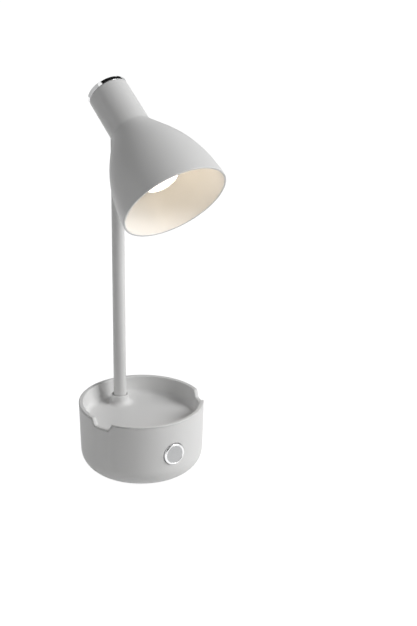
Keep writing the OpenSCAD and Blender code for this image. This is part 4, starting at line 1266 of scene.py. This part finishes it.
class LAMP_OT_stage(bpy.types.Operator):
    """Sets up the camera, the white floor, the soft studio light and the plain background"""

    bl_idname = "lamp.stage"
    bl_label = "Stage"

    def execute(self, context):
        scene = context.scene
        scene.view_settings.view_transform = "Standard"

        data = bpy.data.cameras.new("front_camera")
        data.lens = CAMERA_LENS
        data.sensor_width = 36
        data.clip_end = 50
        camera = bpy.data.objects.new("front_camera", data)
        scene.collection.objects.link(camera)
        aim(camera, CAMERA_PLACE, CAMERA_TARGET)
        scene.camera = camera

        # White floor: it shows white, keeps a soft shadow and throws light back as paper does
        mesh = bpy.data.meshes.new("floor")
        r = FLOOR_REACH
        mesh.from_pydata([(-r, -r, 0), (r, -r, 0), (r, r, 0), (-r, r, 0)], [], [(0, 1, 2, 3)])
        floor = bpy.data.objects.new("floor", mesh)
        scene.collection.objects.link(floor)
        paper = new_material("floor_paper", (0.8, 0.8, 0.8), 1.0)
        tree = paper.node_tree
        plain = tree.nodes["Principled BSDF"]
        plain.inputs["Specular IOR Level"].default_value = 0
        shown = tree.nodes.new("ShaderNodeBsdfDiffuse")
        shown.inputs["Color"].default_value = (FLOOR_SHADOW, FLOOR_SHADOW, FLOOR_SHADOW, 1)
        glow = tree.nodes.new("ShaderNodeEmission")
        glow.inputs["Strength"].default_value = FLOOR_GLOW
        lit = tree.nodes.new("ShaderNodeAddShader")
        mix = tree.nodes.new("ShaderNodeMixShader")
        tree.links.new(shown.outputs[0], lit.inputs[0])
        tree.links.new(glow.outputs[0], lit.inputs[1])
        tree.links.new(background_rays(tree), mix.inputs["Fac"])
        tree.links.new(plain.outputs[0], mix.inputs[1])
        tree.links.new(lit.outputs[0], mix.inputs[2])
        tree.links.new(mix.outputs[0], tree.nodes["Material Output"].inputs["Surface"])
        mesh.materials.append(paper)

        world = bpy.data.worlds.new("studio")
        world.use_nodes = True
        tree = world.node_tree
        dim = tree.nodes["Background"]
        dim.inputs["Color"].default_value = (1, 1, 1, 1)
        dim.inputs["Strength"].default_value = WORLD_LEVEL
        bright = tree.nodes.new("ShaderNodeBackground")
        bright.inputs["Color"].default_value = (1, 1, 1, 1)
        bright.inputs["Strength"].default_value = 1
        mix = tree.nodes.new("ShaderNodeMixShader")
        tree.links.new(background_rays(tree), mix.inputs["Fac"])
        tree.links.new(dim.outputs[0], mix.inputs[1])
        tree.links.new(bright.outputs[0], mix.inputs[2])
        tree.links.new(mix.outputs[0], tree.nodes["World Output"].inputs["Surface"])
        scene.world = world

        softbox("key", KEY_PLACE, STAGE_MIDDLE, KEY_SIZE, KEY_ENERGY)
        softbox("rim", RIM_PLACE, STAGE_MIDDLE, RIM_SIZE, RIM_ENERGY)
        for row in CARDS:
            card(*row)
        return {"FINISHED"}


# ---- Add-on ----

PIECE_OPERATORS = (
    LAMP_OT_base_shell, LAMP_OT_tray, LAMP_OT_foot, LAMP_OT_stem, LAMP_OT_shade, LAMP_OT_end_cap,
    LAMP_OT_light, LAMP_OT_button, LAMP_OT_inner_pieces, LAMP_OT_stage,
)


class LAMP_PT_panel(bpy.types.Panel):
    """Lists the lamp's sizes, finishes and building steps"""

    bl_idname = "LAMP_PT_panel"
    bl_label = "Desk Lamp"
    bl_space_type = "VIEW_3D"
    bl_region_type = "UI"
    bl_category = "Desk Lamp"

    def draw(self, context):
        for group in (context.scene.lamp_base, context.scene.lamp_shade, context.scene.lamp_finish):
            box = self.layout.box()
            for name in group.__annotations__:
                box.prop(group, name)
        for operator in PIECE_OPERATORS:
            self.layout.operator(operator.bl_idname)


CLASSES = (LampBaseSizes, LampShadeSizes, LampFinish) + PIECE_OPERATORS + (LAMP_PT_panel,)


def register():
    for item in CLASSES:
        bpy.utils.register_class(item)
    bpy.types.Scene.lamp_base = PointerProperty(type=LampBaseSizes)
    bpy.types.Scene.lamp_shade = PointerProperty(type=LampShadeSizes)
    bpy.types.Scene.lamp_finish = PointerProperty(type=LampFinish)


def unregister():
    del bpy.types.Scene.lamp_finish
    del bpy.types.Scene.lamp_shade
    del bpy.types.Scene.lamp_base
    for item in reversed(CLASSES):
        bpy.utils.unregister_class(item)


def main():
    register()
    bpy.ops.lamp.base_shell()
    bpy.ops.lamp.tray()
    bpy.ops.lamp.foot()
    bpy.ops.lamp.stem()
    bpy.ops.lamp.shade()
    bpy.ops.lamp.end_cap()
    bpy.ops.lamp.light()
    bpy.ops.lamp.button()
    bpy.ops.lamp.inner_pieces()
    bpy.ops.lamp.stage()


if __name__ == "__main__":
    main()
